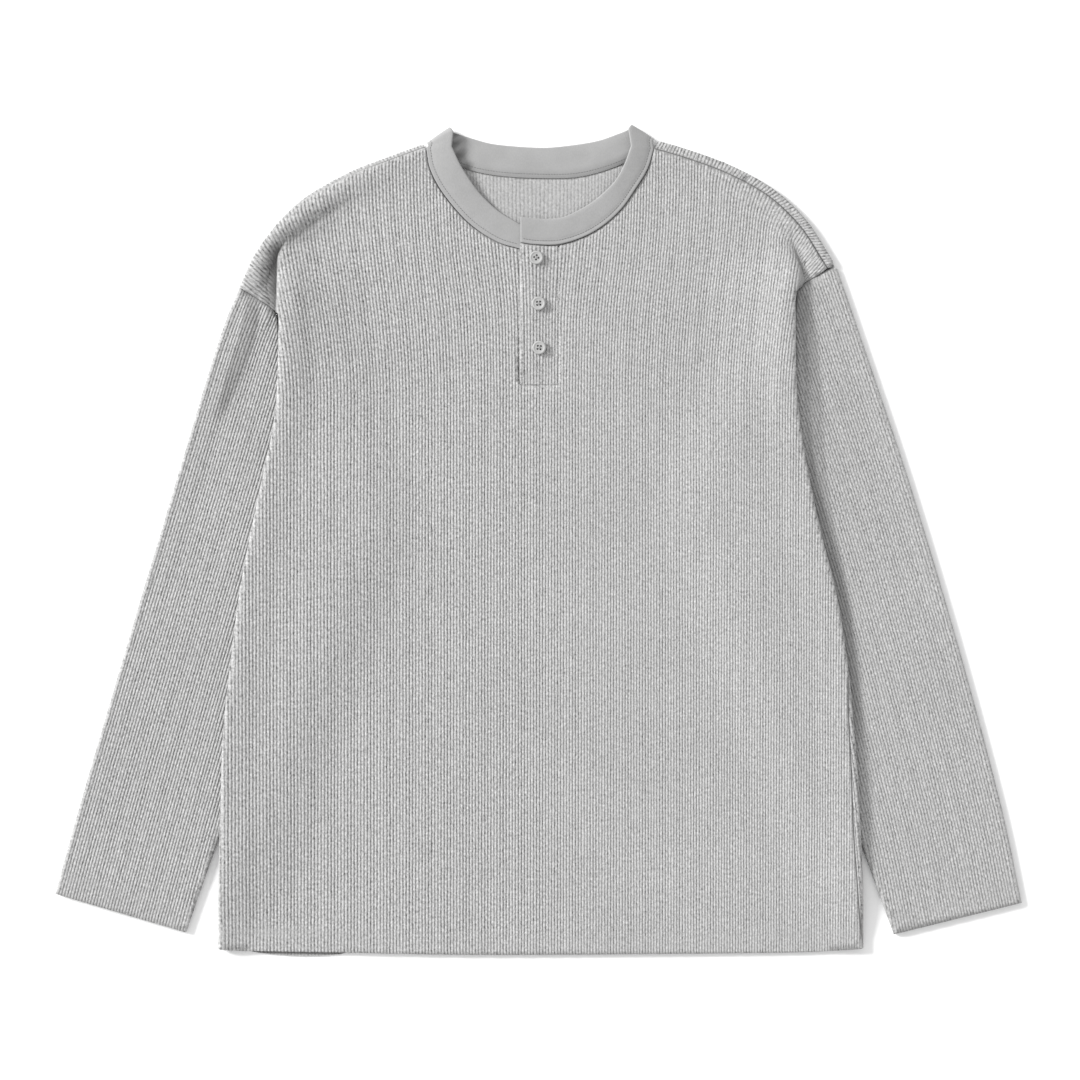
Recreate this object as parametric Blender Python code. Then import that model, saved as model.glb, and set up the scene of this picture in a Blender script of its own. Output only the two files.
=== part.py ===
"""A long-sleeved rib-knit henley shirt, laid flat on its back, front up.

The shirt is the pieces that a maker cuts and sews: a front, a back, two sleeves, a neckband, the
upper and under strips of the placket, and three buttons. Each cloth piece is one wall: an inner
face, worked out as a surface over the plan, and an outer face a wall's thickness off it, which
carries the ribs. Tables and sizes are in millimetres. +X is the wearer's left, +Y runs to the neck,
+Z is up, and the origin lies on the surface below the middle of the whole shirt.
"""

import math

import bmesh
import bpy
import numpy as np
from mathutils import Matrix, Vector
from mathutils.geometry import delaunay_2d_cdt

for stale in list(bpy.data.objects):
    bpy.data.objects.remove(stale, do_unlink=True)

MM = 0.001

# The knit.
WALL = 1.5
RIB_PITCH = 2.63
RIB_HEIGHT = 0.55
SEAM_GAP = 0.35

# Levels of the laid layers: the underside of each panel's inner face.
FRONT_LEVEL = 2.3
BACK_LEVEL = 1.5
SLEEVE_LEVEL = 3.0
SLEEVE_STACK = 5.6
FOLD_RADIUS = 3.3
FOLD_PUFF = 2.8
PUFF_REACH = 34.0
SLEEVE_RADIUS = 2.25
OVER_SLEEVE_RAMP = 60.0
ROLL = math.pi / 2
INNER_RADIUS = FOLD_RADIUS - WALL
EDGE_REACH = FOLD_RADIUS + RIB_HEIGHT
HALF_ROLL = INNER_RADIUS * ROLL
SLEEVE_INNER_RADIUS = SLEEVE_RADIUS - WALL
SLEEVE_ROLL = SLEEVE_INNER_RADIUS * ROLL

# Side edges of the body, from the armholes to the hem.
SIDES = [  # y, left_x, right_x
    (208.0, -227.1, 224.8),
    (140.0, -228.5, 225.8),
    (100.0, -232.3, 229.4),
    (56.0, -241.5, 236.8),
    (8.0, -251.6, 247.0),
    (-45.0, -261.6, 260.3),
    (-103.0, -269.1, 270.0),
    (-160.0, -275.3, 275.5),
    (-210.0, -277.8, 279.6),
    (-300.0, -280.0, 283.6),
    (-356.0, -280.6, 284.6),
]
FRONT_HEM = [  # x, y
    (-280.6, -357.6),
    (-261.0, -359.2),
    (-169.0, -361.0),
    (-77.0, -362.7),
    (26.0, -362.7),
    (209.0, -361.0),
    (260.0, -359.0),
    (284.6, -357.0),
]
BACK_HEM = [  # x, y
    (-279.0, -355.4),
    (-262.0, -357.8),
    (-240.0, -361.8),
    (-205.0, -364.0),
    (-175.0, -362.8),
    (-150.0, -360.8),
    (26.0, -360.5),
    (209.0, -359.0),
    (283.0, -355.5),
]
# Outer edge of the shoulders, from the neck to the top of the sleeve.
LEFT_SHOULDER = [  # x, y
    (-100.0, 346.5),
    (-129.9, 335.6),
    (-165.8, 321.6),
    (-202.6, 300.6),
    (-226.2, 279.6),
    (-247.2, 251.6),
    (-261.5, 222.0),
]
RIGHT_SHOULDER = [  # x, y
    (103.4, 349.7),
    (128.2, 342.6),
    (166.7, 328.6),
    (205.2, 307.6),
    (234.9, 279.6),
    (253.3, 251.6),
    (259.6, 241.5),
]
# How far past the middle of a fold the seam between front and back lies on top.
RIGHT_SIDE_SHIFT = [  # y, shift
    (-357.0, 0.6),
    (-336.0, 2.6),
    (-311.0, 4.2),
    (-260.0, 6.0),
    (-220.0, 5.8),
    (-165.0, 4.2),
    (-120.0, 1.6),
    (-95.0, 0.0),
    (230.0, 0.0),
]
RIGHT_SHOULDER_SHIFT = 7.6
LEFT_SHOULDER_SHIFT = 2.8

# Armhole seams, from the outer edge of the shoulder to where they pass under the body.
LEFT_ARMHOLE = [  # x, y
    (-261.5, 221.0),
    (-246.0, 210.5),
    (-236.0, 204.0),
    (-228.5, 197.0),
]
RIGHT_ARMHOLE = [  # x, y
    (261.2, 237.5),
    (253.8, 236.5),
    (242.8, 230.0),
    (232.3, 223.5),
    (225.5, 218.0),
]
# Where the body folds down to the shoulder above the armhole.
LEFT_BODY_FOLD = [  # y, x
    (197.0, -227.4),
    (209.0, -227.1),
    (238.0, -226.7),
    (249.0, -225.3),
    (261.0, -219.2),
    (276.0, -211.0),
]
RIGHT_BODY_FOLD = [  # y, x
    (205.0, 224.6),
    (218.0, 225.0),
    (224.0, 230.5),
    (240.0, 227.5),
    (262.0, 220.0),
]
LEFT_SLEEVE_OUTER = [  # x, y
    (-261.9, 220.6),
    (-281.0, 171.0),
    (-317.2, 52.0),
    (-359.2, -87.9),
    (-400.3, -227.9),
    (-423.0, -309.3),
]
RIGHT_SLEEVE_OUTER = [  # x, y
    (261.6, 237.1),
    (283.1, 174.6),
    (324.2, 52.0),
    (366.2, -87.9),
    (403.8, -227.9),
    (423.0, -317.2),
]
LEFT_SLEEVE_INNER = [  # x, y
    (-307.6, -343.4),
    (-285.7, -280.4),
    (-230.0, -122.0),
    (-175.0, 20.0),
]
RIGHT_SLEEVE_INNER = [  # x, y
    (310.2, -345.2),
    (286.6, -280.4),
    (230.0, -122.0),
    (175.0, 20.0),
]
# The sleeve's end that lies under the body, from the underarm up to the armhole seam.
HIDDEN_END = [  # x, y
    (175.0, 20.0),
    (200.0, 90.0),
    (222.0, 150.0),
    (222.5, 178.0),
]
# Beside the hidden sleeve ends the back is narrower, above this height.
BACK_SIDE = 218.8
BACK_SIDE_TOP = 146.5
# The neck: where the band is sewn to the front and the back, and the band's free edge.
LEFT_NECK_SEAM = [  # x, y
    (-16.3, 253.5),
    (-37.2, 260.3),
    (-61.7, 276.9),
    (-83.6, 302.3),
    (-94.9, 323.3),
    (-98.4, 341.0),
]
RIGHT_NECK_SEAM = [  # x, y
    (-16.0, 259.2),
    (-2.2, 257.3),
    (18.8, 257.7),
    (40.7, 264.7),
    (58.2, 275.2),
    (73.1, 289.2),
    (83.6, 304.1),
    (95.4, 323.3),
    (101.0, 341.0),
]
BACK_NECK_SEAM = [  # x, y
    (-98.4, 341.0),
    (-66.9, 325.1),
    (-37.2, 318.1),
    (0.0, 315.7),
    (34.6, 316.7),
    (66.0, 325.1),
    (101.0, 341.0),
]
LEFT_NECK_EDGE = [  # x, y
    (-16.8, 276.0),
    (-35.4, 287.4),
    (-52.1, 303.6),
    (-66.9, 325.1),
    (-75.6, 343.0),
]
RIGHT_NECK_EDGE = [  # x, y
    (-16.0, 281.8),
    (0.0, 280.4),
    (18.8, 281.2),
    (34.6, 287.6),
    (50.3, 297.5),
    (66.0, 312.4),
    (74.8, 327.7),
    (80.6, 343.4),
]
BACK_NECK_EDGE = [  # x, y
    (-71.0, 354.8),
    (-55.6, 349.9),
    (-37.2, 345.5),
    (-3.0, 342.8),
    (18.8, 343.6),
    (50.3, 348.3),
    (73.0, 356.0),
]
# Where the back stops beside the folded ends of the band.
BAND_FOOT_LEFT = -99.2
BAND_FOOT_RIGHT = 102.0
LEFT_NECK_PEAK = (-77.2, 360.4)
RIGHT_NECK_PEAK = (81.0, 362.7)
LEFT_NECK_FOOT = (-97.6, 346.8)
RIGHT_NECK_FOOT = (101.1, 350.2)

BAND_WALL = 2.2
BAND_LOW = BAND_WALL / 2 + 0.02
BAND_ROLL_STEPS = 6
BAND_SEAM_IN = 0.5
NECK_HEIGHTS = [  # share of the way from the placket to the shoulder, level at the edge, at the seam
    (0.0, 6.0, 5.7),
    (0.2, 5.1, 4.6),
    (0.5, 5.0, 4.4),
    (0.8, 7.2, 5.0),
    (1.0, 9.0, 5.5),
]
LEFT_NECK_HEIGHTS = [  # share of the way from the placket to the shoulder, level at the edge, at the seam
    (0.0, 3.3, 3.2),
    (0.2, 3.7, 3.5),
    (0.5, 5.2, 4.2),
    (0.8, 7.8, 5.0),
    (1.0, 9.6, 5.5),
]
BAND_END_EDGE = (14.8, -4.0, 0.0)
BAND_END_SEAM = (14.3, -1.2, 0.0)

# The body swells beside the line where it folds down to the shoulders, and creases beyond it.
CAP_HEIGHT = 262.0
CAP_FOOT = 192.0
CAP_LEAN = 0.67
CAP_SPREAD = 0.26
CAP_MIDDLE = 228.0
CAP_STEEP_HEIGHT = 242.0
CAP_WIDE_HEIGHT = 232.0
BODY_STEP_IN = 1.2
BODY_STEP = 3.4
SWELL_HEIGHT = 3.4
SWELL_IN = 10.0
SWELL_WIDTH = 16.0
SWELL_FOOT = 60.0
SWELL_TOP = 285.0
BODY_FOLD_FEET = (194.0, 214.0)
LEFT_CREASE = [  # x, y, strength
    (-158.0, 294.0, 0.0),
    (-177.0, 284.5, 0.6),
    (-190.0, 276.0, 0.9),
    (-206.0, 267.0, 1.0),
    (-219.0, 260.0, 1.0),
    (-226.5, 252.0, 1.0),
    (-229.0, 238.0, 1.0),
    (-229.5, 222.0, 1.0),
    (-229.0, 208.0, 0.8),
]
LEFT_SWELL = [  # x, y, strength
    (-140.0, 318.0, 0.0),
    (-166.0, 306.0, 0.5),
    (-198.0, 288.0, 0.9),
    (-219.0, 270.0, 1.0),
    (-239.0, 246.0, 1.0),
    (-250.0, 226.0, 0.4),
]
RIGHT_CREASE = [  # x, y, strength
    (217.0, 264.0, 0.0),
    (223.5, 253.0, 0.7),
    (228.0, 243.0, 1.0),
    (230.5, 232.0, 1.0),
    (229.5, 223.0, 1.0),
]
SHOULDER_SWELLS = (  # path, width, height
    (LEFT_SWELL, 10.5, 4.4),
    (RIGHT_CREASE, 5.5, -2.8),
)
LEFT_CREASE_WIDTH = 9.5
LEFT_CREASE_HEIGHT = -5.0
# Soft valleys down the upper faces of the sleeves, both given on the -X side.
VALLEY_WIDTH = 11.0
VALLEY_DEPTH = -0.9
RIGHT_SLEEVE_VALLEY = [  # x, y, strength
    (-251.0, 205.0, 0.8),
    (-262.0, 160.0, 1.0),
    (-279.0, 95.0, 1.0),
    (-298.0, 20.0, 0.6),
    (-318.0, -60.0, 0.0),
]
LEFT_SLEEVE_VALLEY = [  # x, y, strength
    (-262.0, 175.0, 0.0),
    (-286.0, 100.0, 0.7),
    (-318.0, 0.0, 0.5),
    (-350.0, -100.0, 0.0),
]

# The placket.
PLACKET_LEFT = -15.8
PLACKET_RIGHT = 17.1
PLACKET_FOOT = 135.0
PLACKET_TOP_LEVEL = 4.65
PLACKET_SEAM_LEVEL = 2.5
PLACKET_SLOPE_START = 7.0
UNDER_STRIP_RIGHT = 6.0
UNDER_STRIP_LEVEL = 2.2
UNDER_STRIP_TOP = 250.9
STRIP_INSET = 0.4
STRIP_ROWS = (170.0, 210.0, 240.0)

# The buttons.
BUTTON_RADIUS = 5.75
BUTTON_HEIGHT = 2.4
BUTTON_HOLE_RADIUS = 0.85
BUTTON_HOLE_REACH = 1.75
BUTTON_LIFT = 0.3
BUTTON_PROFILE = [  # share of the radius, share of the height
    (0.0, 0.0),
    (0.72, 0.0),
    (0.93, 0.18),
    (1.0, 0.5),
    (0.96, 0.86),
    (0.84, 1.0),
    (0.7, 0.92),
    (0.6, 0.62),
    (0.0, 0.58),
]
BUTTON_SIDES = 20
HOLE_SIDES = 7
BUTTONS = [  # name, x, y, turn in degrees
    ("button_top", -1.9, 246.2, 35.0),
    ("button_middle", 0.1, 206.2, 4.0),
    ("button_bottom", 0.6, 167.6, -6.0),
]

# How finely the outlines and the ribs are cut.
EDGE_STEP = 14.0
CENTRE_ROWS = (-338.0, -225.0, -75.0, 100.0, 215.0, 285.0)
SIDE_ROWS = (-338.0, -285.0, -225.0, -150.0, -75.0, 0.0, 50.0, 100.0, 150.0, 182.0)
SHOULDER_ROWS = (200.0, 215.0, 232.0, 250.0, 268.0, 285.0, 305.0)
CENTRE_REACH = 150.0
SLEEVE_ROWS = 7
NECK_STEP = 9.0
WALES = np.arange(-228, 229) * RIB_PITCH / 2
SLEEVE_WALES = np.arange(0, 230) * RIB_PITCH / 2
PLAIN_EVERY = 8
STEP_ROWS = (203.0, 262.0, 7.0)
STEP_OFFSETS = (-7.5, -2.6, 1.4)
STEP_CLEARANCE = 2.0
BACK_EVERY = 8
SLEEVE_PLAIN_EVERY = 12
EDGE_CLEARANCE = 0.9

# Plain colours and finishes of the solids.
KNIT_GREY = (0.46, 0.46, 0.46)
BAND_GREY = (0.44, 0.44, 0.44)
BUTTON_GREY = (0.50, 0.50, 0.49)
KNIT_ROUGHNESS = 0.9
BAND_ROUGHNESS = 0.85
BUTTON_ROUGHNESS = 0.4
SMOOTH_ANGLE = math.radians(40.0)
BUTTON_SMOOTH_ANGLE = math.radians(35.0)


def smooth_step(t):
    t = np.clip(t, 0.0, 1.0)
    return t * t * (3.0 - 2.0 * t)


def curve(rows, step=EDGE_STEP):
    """Points every step or so along a smooth curve through the rows."""
    rows = np.array(rows, float)
    ends = np.vstack([2 * rows[0] - rows[1], rows, 2 * rows[-1] - rows[-2]])
    dense = []
    for i in range(len(rows) - 1):
        a, b, c, d = ends[i : i + 4]
        for t in np.arange(0.0, 1.0, 0.05):
            bend = (2 * a - 5 * b + 4 * c - d) * t**2 + (3 * b - a - 3 * c + d) * t**3
            dense.append(b + 0.5 * ((c - a) * t + bend))
    dense.append(rows[-1])
    dense = np.array(dense)
    along = np.concatenate([[0.0], np.cumsum(np.hypot(*np.diff(dense, axis=0).T))])
    count = max(2, int(round(along[-1] / step)) + 1)
    places = np.linspace(0.0, along[-1], count)
    return np.column_stack([np.interp(places, along, dense[:, k]) for k in range(dense.shape[1])])


def read(rows, at):
    """The second column of a table, read smoothly at values of the first."""
    path = curve(rows, 4.0)
    if path[0, 0] > path[-1, 0]:
        path = path[::-1]
    return np.interp(at, path[:, 0], path[:, 1])


def side(sign, step=EDGE_STEP):
    """A side edge of the body, from the armhole to the hem, as x, y points."""
    column = 1 if sign < 0 else 2
    return curve([(row[column], row[0]) for row in SIDES], step)


def nearest(path, x, y):
    """Signed distance to the left of a path, and the left normal at the nearest point."""
    best = np.full(x.shape, np.inf)
    out = [np.zeros(x.shape) for _ in range(3)]
    last = len(path) - 2
    for i in range(len(path) - 1):
        a, b = path[i], path[i + 1]
        run = b - a
        length = math.hypot(*run)
        t = ((x - a[0]) * run[0] + (y - a[1]) * run[1]) / length**2
        t = np.clip(t, -np.inf if i == 0 else 0.0, np.inf if i == last else 1.0)
        gap = np.hypot(x - a[0] - t * run[0], y - a[1] - t * run[1])
        turn = run[0] * (y - a[1]) - run[1] * (x - a[0])
        closer = gap < best - 1e-9
        best = np.where(closer, gap, best)
        values = (np.where(turn < 0, -gap, gap), -run[1] / length, run[0] / length)
        out = [np.where(closer, new, old) for new, old in zip(values, out)]
    return out


def inside(loop, x, y):
    """Which points lie inside a closed loop."""
    hit = np.zeros(x.shape, bool)
    for (ax, ay), (bx, by) in zip(loop, np.roll(loop, -1, axis=0)):
        if ay == by:
            continue
        crosses = (y < ay) != (y < by)
        hit ^= crosses & (x < ax + (y - ay) * (bx - ax) / (by - ay))
    return hit


def path_distance(path, x, y):
    """Distance to the nearest stretch of a path."""
    best = np.full(x.shape, np.inf)
    for a, b in zip(path[:-1], path[1:]):
        run = b - a
        t = np.clip(((x - a[0]) * run[0] + (y - a[1]) * run[1]) / max(run @ run, 1e-9), 0.0, 1.0)
        best = np.minimum(best, np.hypot(x - a[0] - t * run[0], y - a[1] - t * run[1]))
    return best


def edge_distance(loop, x, y):
    """Distance to the nearest side of a closed loop."""
    return path_distance(np.vstack([loop, loop[:1]]), x, y)


def moved(path, amount):
    """A path moved to its left."""
    run = np.gradient(path, axis=0)
    length = np.hypot(run[:, 0], run[:, 1])[:, None]
    return path + np.column_stack([-run[:, 1], run[:, 0]]) / length * np.reshape(amount, (-1, 1))


def mirrored(rows):
    return [(-x, y) for x, y in rows]


# ---------------------------------------------------------------- ribs of the body


def body_wale(x, y):
    """Which rib runs through a point: ribs lie upright, open out to the neck, and turn at the caps."""
    w = x * (1.0 + 0.00026 * x)
    w = w - 0.10 * x * smooth_step((y - 120.0) / 200.0)
    w = w - 0.16 * x * np.exp(-((x / 70.0) ** 2)) * smooth_step((y - 185.0) / 90.0)
    for sign, fold in ((-1.0, LEFT_BODY_FOLD), (1.0, RIGHT_BODY_FOLD)):
        start = sign * read(fold, y) - 2.0 - 20.0 * smooth_step((y - CAP_STEEP_HEIGHT) / 40.0)
        width = 5.0 + 35.0 * smooth_step((y - CAP_WIDE_HEIGHT) / 45.0)
        turn = smooth_step((sign * x - start) / width) * smooth_step((y - CAP_FOOT) / 4.0)
        drop = np.minimum(y - CAP_HEIGHT, 0.0)
        spread = CAP_SPREAD * (sign * x - CAP_MIDDLE) * smooth_step(-drop / 20.0)
        w = w - sign * turn * (CAP_LEAN * drop - spread)
    return w


def rib_relief(wale):
    """Height of a rib over its valley."""
    return RIB_HEIGHT * (0.5 + 0.5 * np.cos(2 * math.pi * wale / RIB_PITCH))


# ---------------------------------------------------------------- levels of the body


def over_sleeve(x, y, top):
    """How far the sleeves below lift the body, from 0 to 1, up to the height where the lift ends."""
    lift = np.zeros(x.shape)
    for sign, rows in ((-1.0, LEFT_SLEEVE_INNER), (1.0, RIGHT_SLEEVE_INNER)):
        inner = [row for row in rows if row[1] > -282.0]
        end = [(sign * row[0], row[1]) for row in HIDDEN_END[1:] if row[1] < top]
        loop = np.array(inner + end + [(sign * 222.0, top), (sign * 300.0, top), (sign * 300.0, -262.0)])
        gap = np.where(inside(loop, x, y), 0.0, edge_distance(loop, x, y))
        lift = np.maximum(lift, smooth_step(1.35 - gap / OVER_SLEEVE_RAMP))
    return lift


def fold_puff(x, y):
    """The body stands a little fuller along its folds."""
    gap = np.full(x.shape, np.inf)
    for path in (side(-1.0, 20.0), side(1.0, 20.0), curve(LEFT_SHOULDER, 20.0), curve(RIGHT_SHOULDER, 20.0)):
        gap = np.minimum(gap, path_distance(path, x, y))
    return FOLD_PUFF * smooth_step(1.12 - gap / PUFF_REACH)


def swell(path, width, height, x, y):
    """A soft swelling, or a crease where the height is negative, along a path of x, y, strength."""
    out = np.zeros(x.shape)
    for px, py, strength in curve(path, 5.0):
        out = np.maximum(out, strength * np.exp(-((x - px) ** 2 + (y - py) ** 2) / width**2))
    return height * out


def past_fold(sign, fold, x, y):
    """Whether a place lies past the line where the body folds down to a shoulder, from 0 to 1."""
    return smooth_step((sign * x - sign * read(fold, y) + BODY_STEP_IN) / BODY_STEP)


def left_crease(x, y):
    """The crease of the left shoulder, which ends sharply at the body's edge beside it."""
    body = (1.0 - past_fold(-1.0, LEFT_BODY_FOLD, x, y)) * smooth_step((CAP_HEIGHT - y) / 14.0)
    return swell(LEFT_CREASE, LEFT_CREASE_WIDTH, LEFT_CREASE_HEIGHT, x, y) * (1.0 - body)


def body_inner(x, y):
    """Level of the front's inner face, before its edges are folded down."""
    z = FRONT_LEVEL + fold_puff(x, y)
    body_side = np.ones(x.shape)
    for sign, fold, foot in zip((-1.0, 1.0), (LEFT_BODY_FOLD, RIGHT_BODY_FOLD), BODY_FOLD_FEET):
        line = sign * read(fold, y)
        past = past_fold(sign, fold, x, y)
        body_side = body_side * (1.0 - past * smooth_step((y - foot) / 6.0))
        ridge = np.exp(-(((sign * x - line + SWELL_IN) / SWELL_WIDTH) ** 2))
        height = SWELL_HEIGHT * smooth_step((y - SWELL_FOOT) / 120.0) * smooth_step((SWELL_TOP - y) / 50.0)
        z = z + height * ridge * body_side
    z = z + SLEEVE_STACK * over_sleeve(x, y, 212.0) * body_side * smooth_step((CAP_HEIGHT - y) / 45.0)
    for path, width, height in SHOULDER_SWELLS:
        z = z + swell(path, width, height, x, y)
    z = z + left_crease(x, y)
    return np.maximum(z, FRONT_LEVEL)


# ---------------------------------------------------------------- walls


def triangulate(loop, fill, runs):
    """Triangles over a plan: the loop's points come first, then the fill's."""
    points = [Vector(p) for p in loop] + [Vector(p) for p in fill]
    shift = len(loop)
    edges = [(a + shift, b + shift) for a, b in runs]
    out = delaunay_2d_cdt(points, edges, [list(range(shift))], 1, 1e-5)
    spot = [-1] * len(out[0])
    for new, old in enumerate(out[3]):
        spot[new] = min(old) if old else -1
    if min(spot) < 0:
        raise ValueError("two rib lines cross")
    return [tuple(spot[i] for i in face) for face in out[2]]


def pushed(surface, x, y, offset):
    """Points a distance off a surface, along its normal."""
    h = 0.05
    here = surface(x, y)
    along_x = surface(x + h, y) - surface(x - h, y)
    along_y = surface(x, y + h) - surface(x, y - h)
    normal = np.cross(along_x, along_y)
    normal /= np.linalg.norm(normal, axis=1)[:, None]
    return here + normal * np.reshape(offset, (-1, 1))


class Wall:
    """Points and faces of one closed wall."""

    def __init__(self):
        self.points = []
        self.faces = []

    def add(self, places):
        start = len(self.points)
        self.points.extend(map(tuple, places))
        return list(range(start, len(self.points)))

    def sheet(self, indices, triangles, flip=False):
        for a, b, c in triangles:
            face = (indices[a], indices[b], indices[c])
            self.faces.append(face[::-1] if flip else face)

    def grid(self, places, flip):
        """A sheet over rows of points, and the indices of the points round its edge."""
        indices = np.array(self.add(places.reshape(-1, 3))).reshape(places.shape[:2])
        for i in range(places.shape[0] - 1):
            for j in range(places.shape[1] - 1):
                a, b, c, d = indices[i, j], indices[i + 1, j], indices[i + 1, j + 1], indices[i, j + 1]
                self.faces += [(c, b, a), (d, c, a)] if flip else [(a, b, c), (a, c, d)]
        indices_round = [indices[:, 0], indices[-1, 1:], indices[-2::-1, -1], indices[0, -2:0:-1]]
        return list(np.concatenate(indices_round))

    def rim(self, outer, inner, closed=True):
        count = len(outer) if closed else len(outer) - 1
        for i in range(count):
            j = (i + 1) % len(outer)
            self.faces.append((outer[j], outer[i], inner[i]))
            self.faces.append((outer[j], inner[i], inner[j]))

    def finish(self, name, colour, roughness):
        """The wall as an object, its faces turned outwards."""
        mesh = bpy.data.meshes.new(name)
        mesh.from_pydata([tuple(c * MM for c in p) for p in self.points], [], self.faces)
        mesh.validate()
        bm = bmesh.new()
        bm.from_mesh(mesh)
        bmesh.ops.recalc_face_normals(bm, faces=bm.faces)
        bm.to_mesh(mesh)
        bm.free()
        mesh.shade_smooth()
        mesh.set_sharp_from_angle(angle=SMOOTH_ANGLE)
        piece = bpy.data.objects.new(name, mesh)
        bpy.context.scene.collection.objects.link(piece)
        mesh.materials.append(finish_of(name, colour, roughness))
        return piece


def finish_of(name, colour, roughness):
    """A plain material of the piece's own."""
    material = bpy.data.materials.new(name)
    material.use_nodes = True
    shader = material.node_tree.nodes["Principled BSDF"]
    shader.inputs["Base Color"].default_value = (*colour, 1.0)
    shader.inputs["Roughness"].default_value = roughness
    shader.inputs["Metallic"].default_value = 0.0
    return material


def join(*stretches):
    """One loop from stretches of points, each with whether it is folded, that run on from each other."""
    loop = []
    folded = []
    for points, is_fold in stretches:
        for point in points:
            if not loop or math.hypot(point[0] - loop[-1][0], point[1] - loop[-1][1]) > 0.6:
                loop.append(point)
                folded.append(is_fold)
            elif is_fold:
                folded[-1] = True
    if math.hypot(loop[0][0] - loop[-1][0], loop[0][1] - loop[-1][1]) < 0.6:
        loop.pop()
        folded[0] = folded[0] or folded.pop()
    return np.array(loop), np.array(folded)


def rib_lines(lines, tags, loop, margin):
    """Fill points along each rib line where it is inside the loop, the runs that join them, and tags."""
    fill = []
    runs = []
    kept = []
    for line, tag in zip(lines, tags):
        x, y = line[:, 0], line[:, 1]
        use = inside(loop, x, y)
        use[use] = edge_distance(loop, x[use], y[use]) > margin
        last = False
        for j, ok in enumerate(use):
            if ok:
                fill.append((x[j], y[j]))
                kept.append(tag)
                if last and clear_run(fill[-2], fill[-1], loop, margin):
                    runs.append((len(fill) - 2, len(fill) - 1))
                last = True
    return np.array(fill).reshape(-1, 2), runs, np.array(kept)


def clear_run(a, b, loop, margin):
    """Whether the straight line between two points stays inside a loop."""
    t = np.linspace(0.0, 1.0, 9)
    x = a[0] + (b[0] - a[0]) * t
    y = a[1] + (b[1] - a[1]) * t
    return bool(inside(loop, x, y).all() and edge_distance(loop, x, y).min() > margin * 0.8)


def body_lines(wales):
    """Rib lines of the body: beside the middle they have points at more heights."""
    grid_x = np.linspace(-300.0, 300.0, 2401)
    heights = sorted(set(CENTRE_ROWS + SIDE_ROWS + SHOULDER_ROWS))
    places = []
    for y in heights:
        x = np.interp(wales, body_wale(grid_x, np.full(grid_x.shape, y)), grid_x)
        use = np.abs(x) > CENTRE_REACH if y not in CENTRE_ROWS else np.ones(x.shape, bool)
        places.append(np.column_stack([x, np.full(x.shape, y), use]))
    places = np.array(places)
    return [places[places[:, k, 2] > 0.5, k, :2] for k in range(len(wales))]


def behind_edge(loop, chosen, depths):
    """Points inside a loop, behind the chosen points of its edge, at each depth."""
    after = np.roll(loop, -1, axis=0)
    area = 0.5 * np.sum(loop[:, 0] * after[:, 1] - after[:, 0] * loop[:, 1])
    run = after - np.roll(loop, 1, axis=0)
    normal = np.column_stack([-run[:, 1], run[:, 0]]) * np.sign(area)
    normal /= np.linalg.norm(normal, axis=1)[:, None]
    fill = []
    runs = []
    for depth in depths:
        last = -2
        for i in np.flatnonzero(chosen):
            fill.append(loop[i] + normal[i] * depth)
            if last == i - 1:
                runs.append((len(fill) - 2, len(fill) - 1))
            last = i
    return np.array(fill).reshape(-1, 2), runs


def merged(*groups):
    """Several sets of points and their runs as one."""
    fill = np.vstack([group[0] for group in groups])
    runs = []
    shift = 0
    for points, links in groups:
        runs += [(a + shift, b + shift) for a, b in links]
        shift += len(points)
    return fill, runs


# ---------------------------------------------------------------- folded edges


def fold_outline(name, step):
    """The outline along a fold of the body, with the cloth on its left."""
    if name == "left_side":
        return side(-1.0, step)
    if name == "right_side":
        return side(1.0, step)[::-1]
    if name == "left_shoulder":
        return curve(LEFT_SHOULDER, step)
    return curve(RIGHT_SHOULDER, step)[::-1]


def fold_axis(outline):
    """Where a folded edge starts to bend, from its outline, which has the cloth on its left."""
    return moved(outline, EDGE_REACH)


BODY_FOLDS = (  # name, height at which the fold begins or ends, side of the body
    ("left_side", 203.0, -1.0),
    ("right_side", 222.0, 1.0),
    ("left_shoulder", 205.0, -1.0),
    ("right_shoulder", 226.0, 1.0),
)
FOLD_AXES = {name: fold_axis(fold_outline(name, 8.0)) for name, _, _ in BODY_FOLDS}


def fold_shift(name, points):
    """How far past the middle of a fold its seam lies, at points along it."""
    x, y = points[:, 0], points[:, 1]
    if name == "right_side":
        return read(RIGHT_SIDE_SHIFT, y)
    if name == "left_shoulder":
        return LEFT_SHOULDER_SHIFT * (1.0 - smooth_step((-x - 188.0) / 40.0))
    if name == "right_shoulder":
        return np.full(x.shape, RIGHT_SHOULDER_SHIFT)
    return np.zeros(x.shape)


def fold_edge(name, step, back):
    """The cut edge of the front or the back along a fold, in plan before it is folded."""
    axis = fold_axis(fold_outline(name, step))
    shift = fold_shift(name, axis)
    reach = HALF_ROLL + (shift if back else -shift) - SEAM_GAP / 3
    return moved(axis, -reach)


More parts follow.
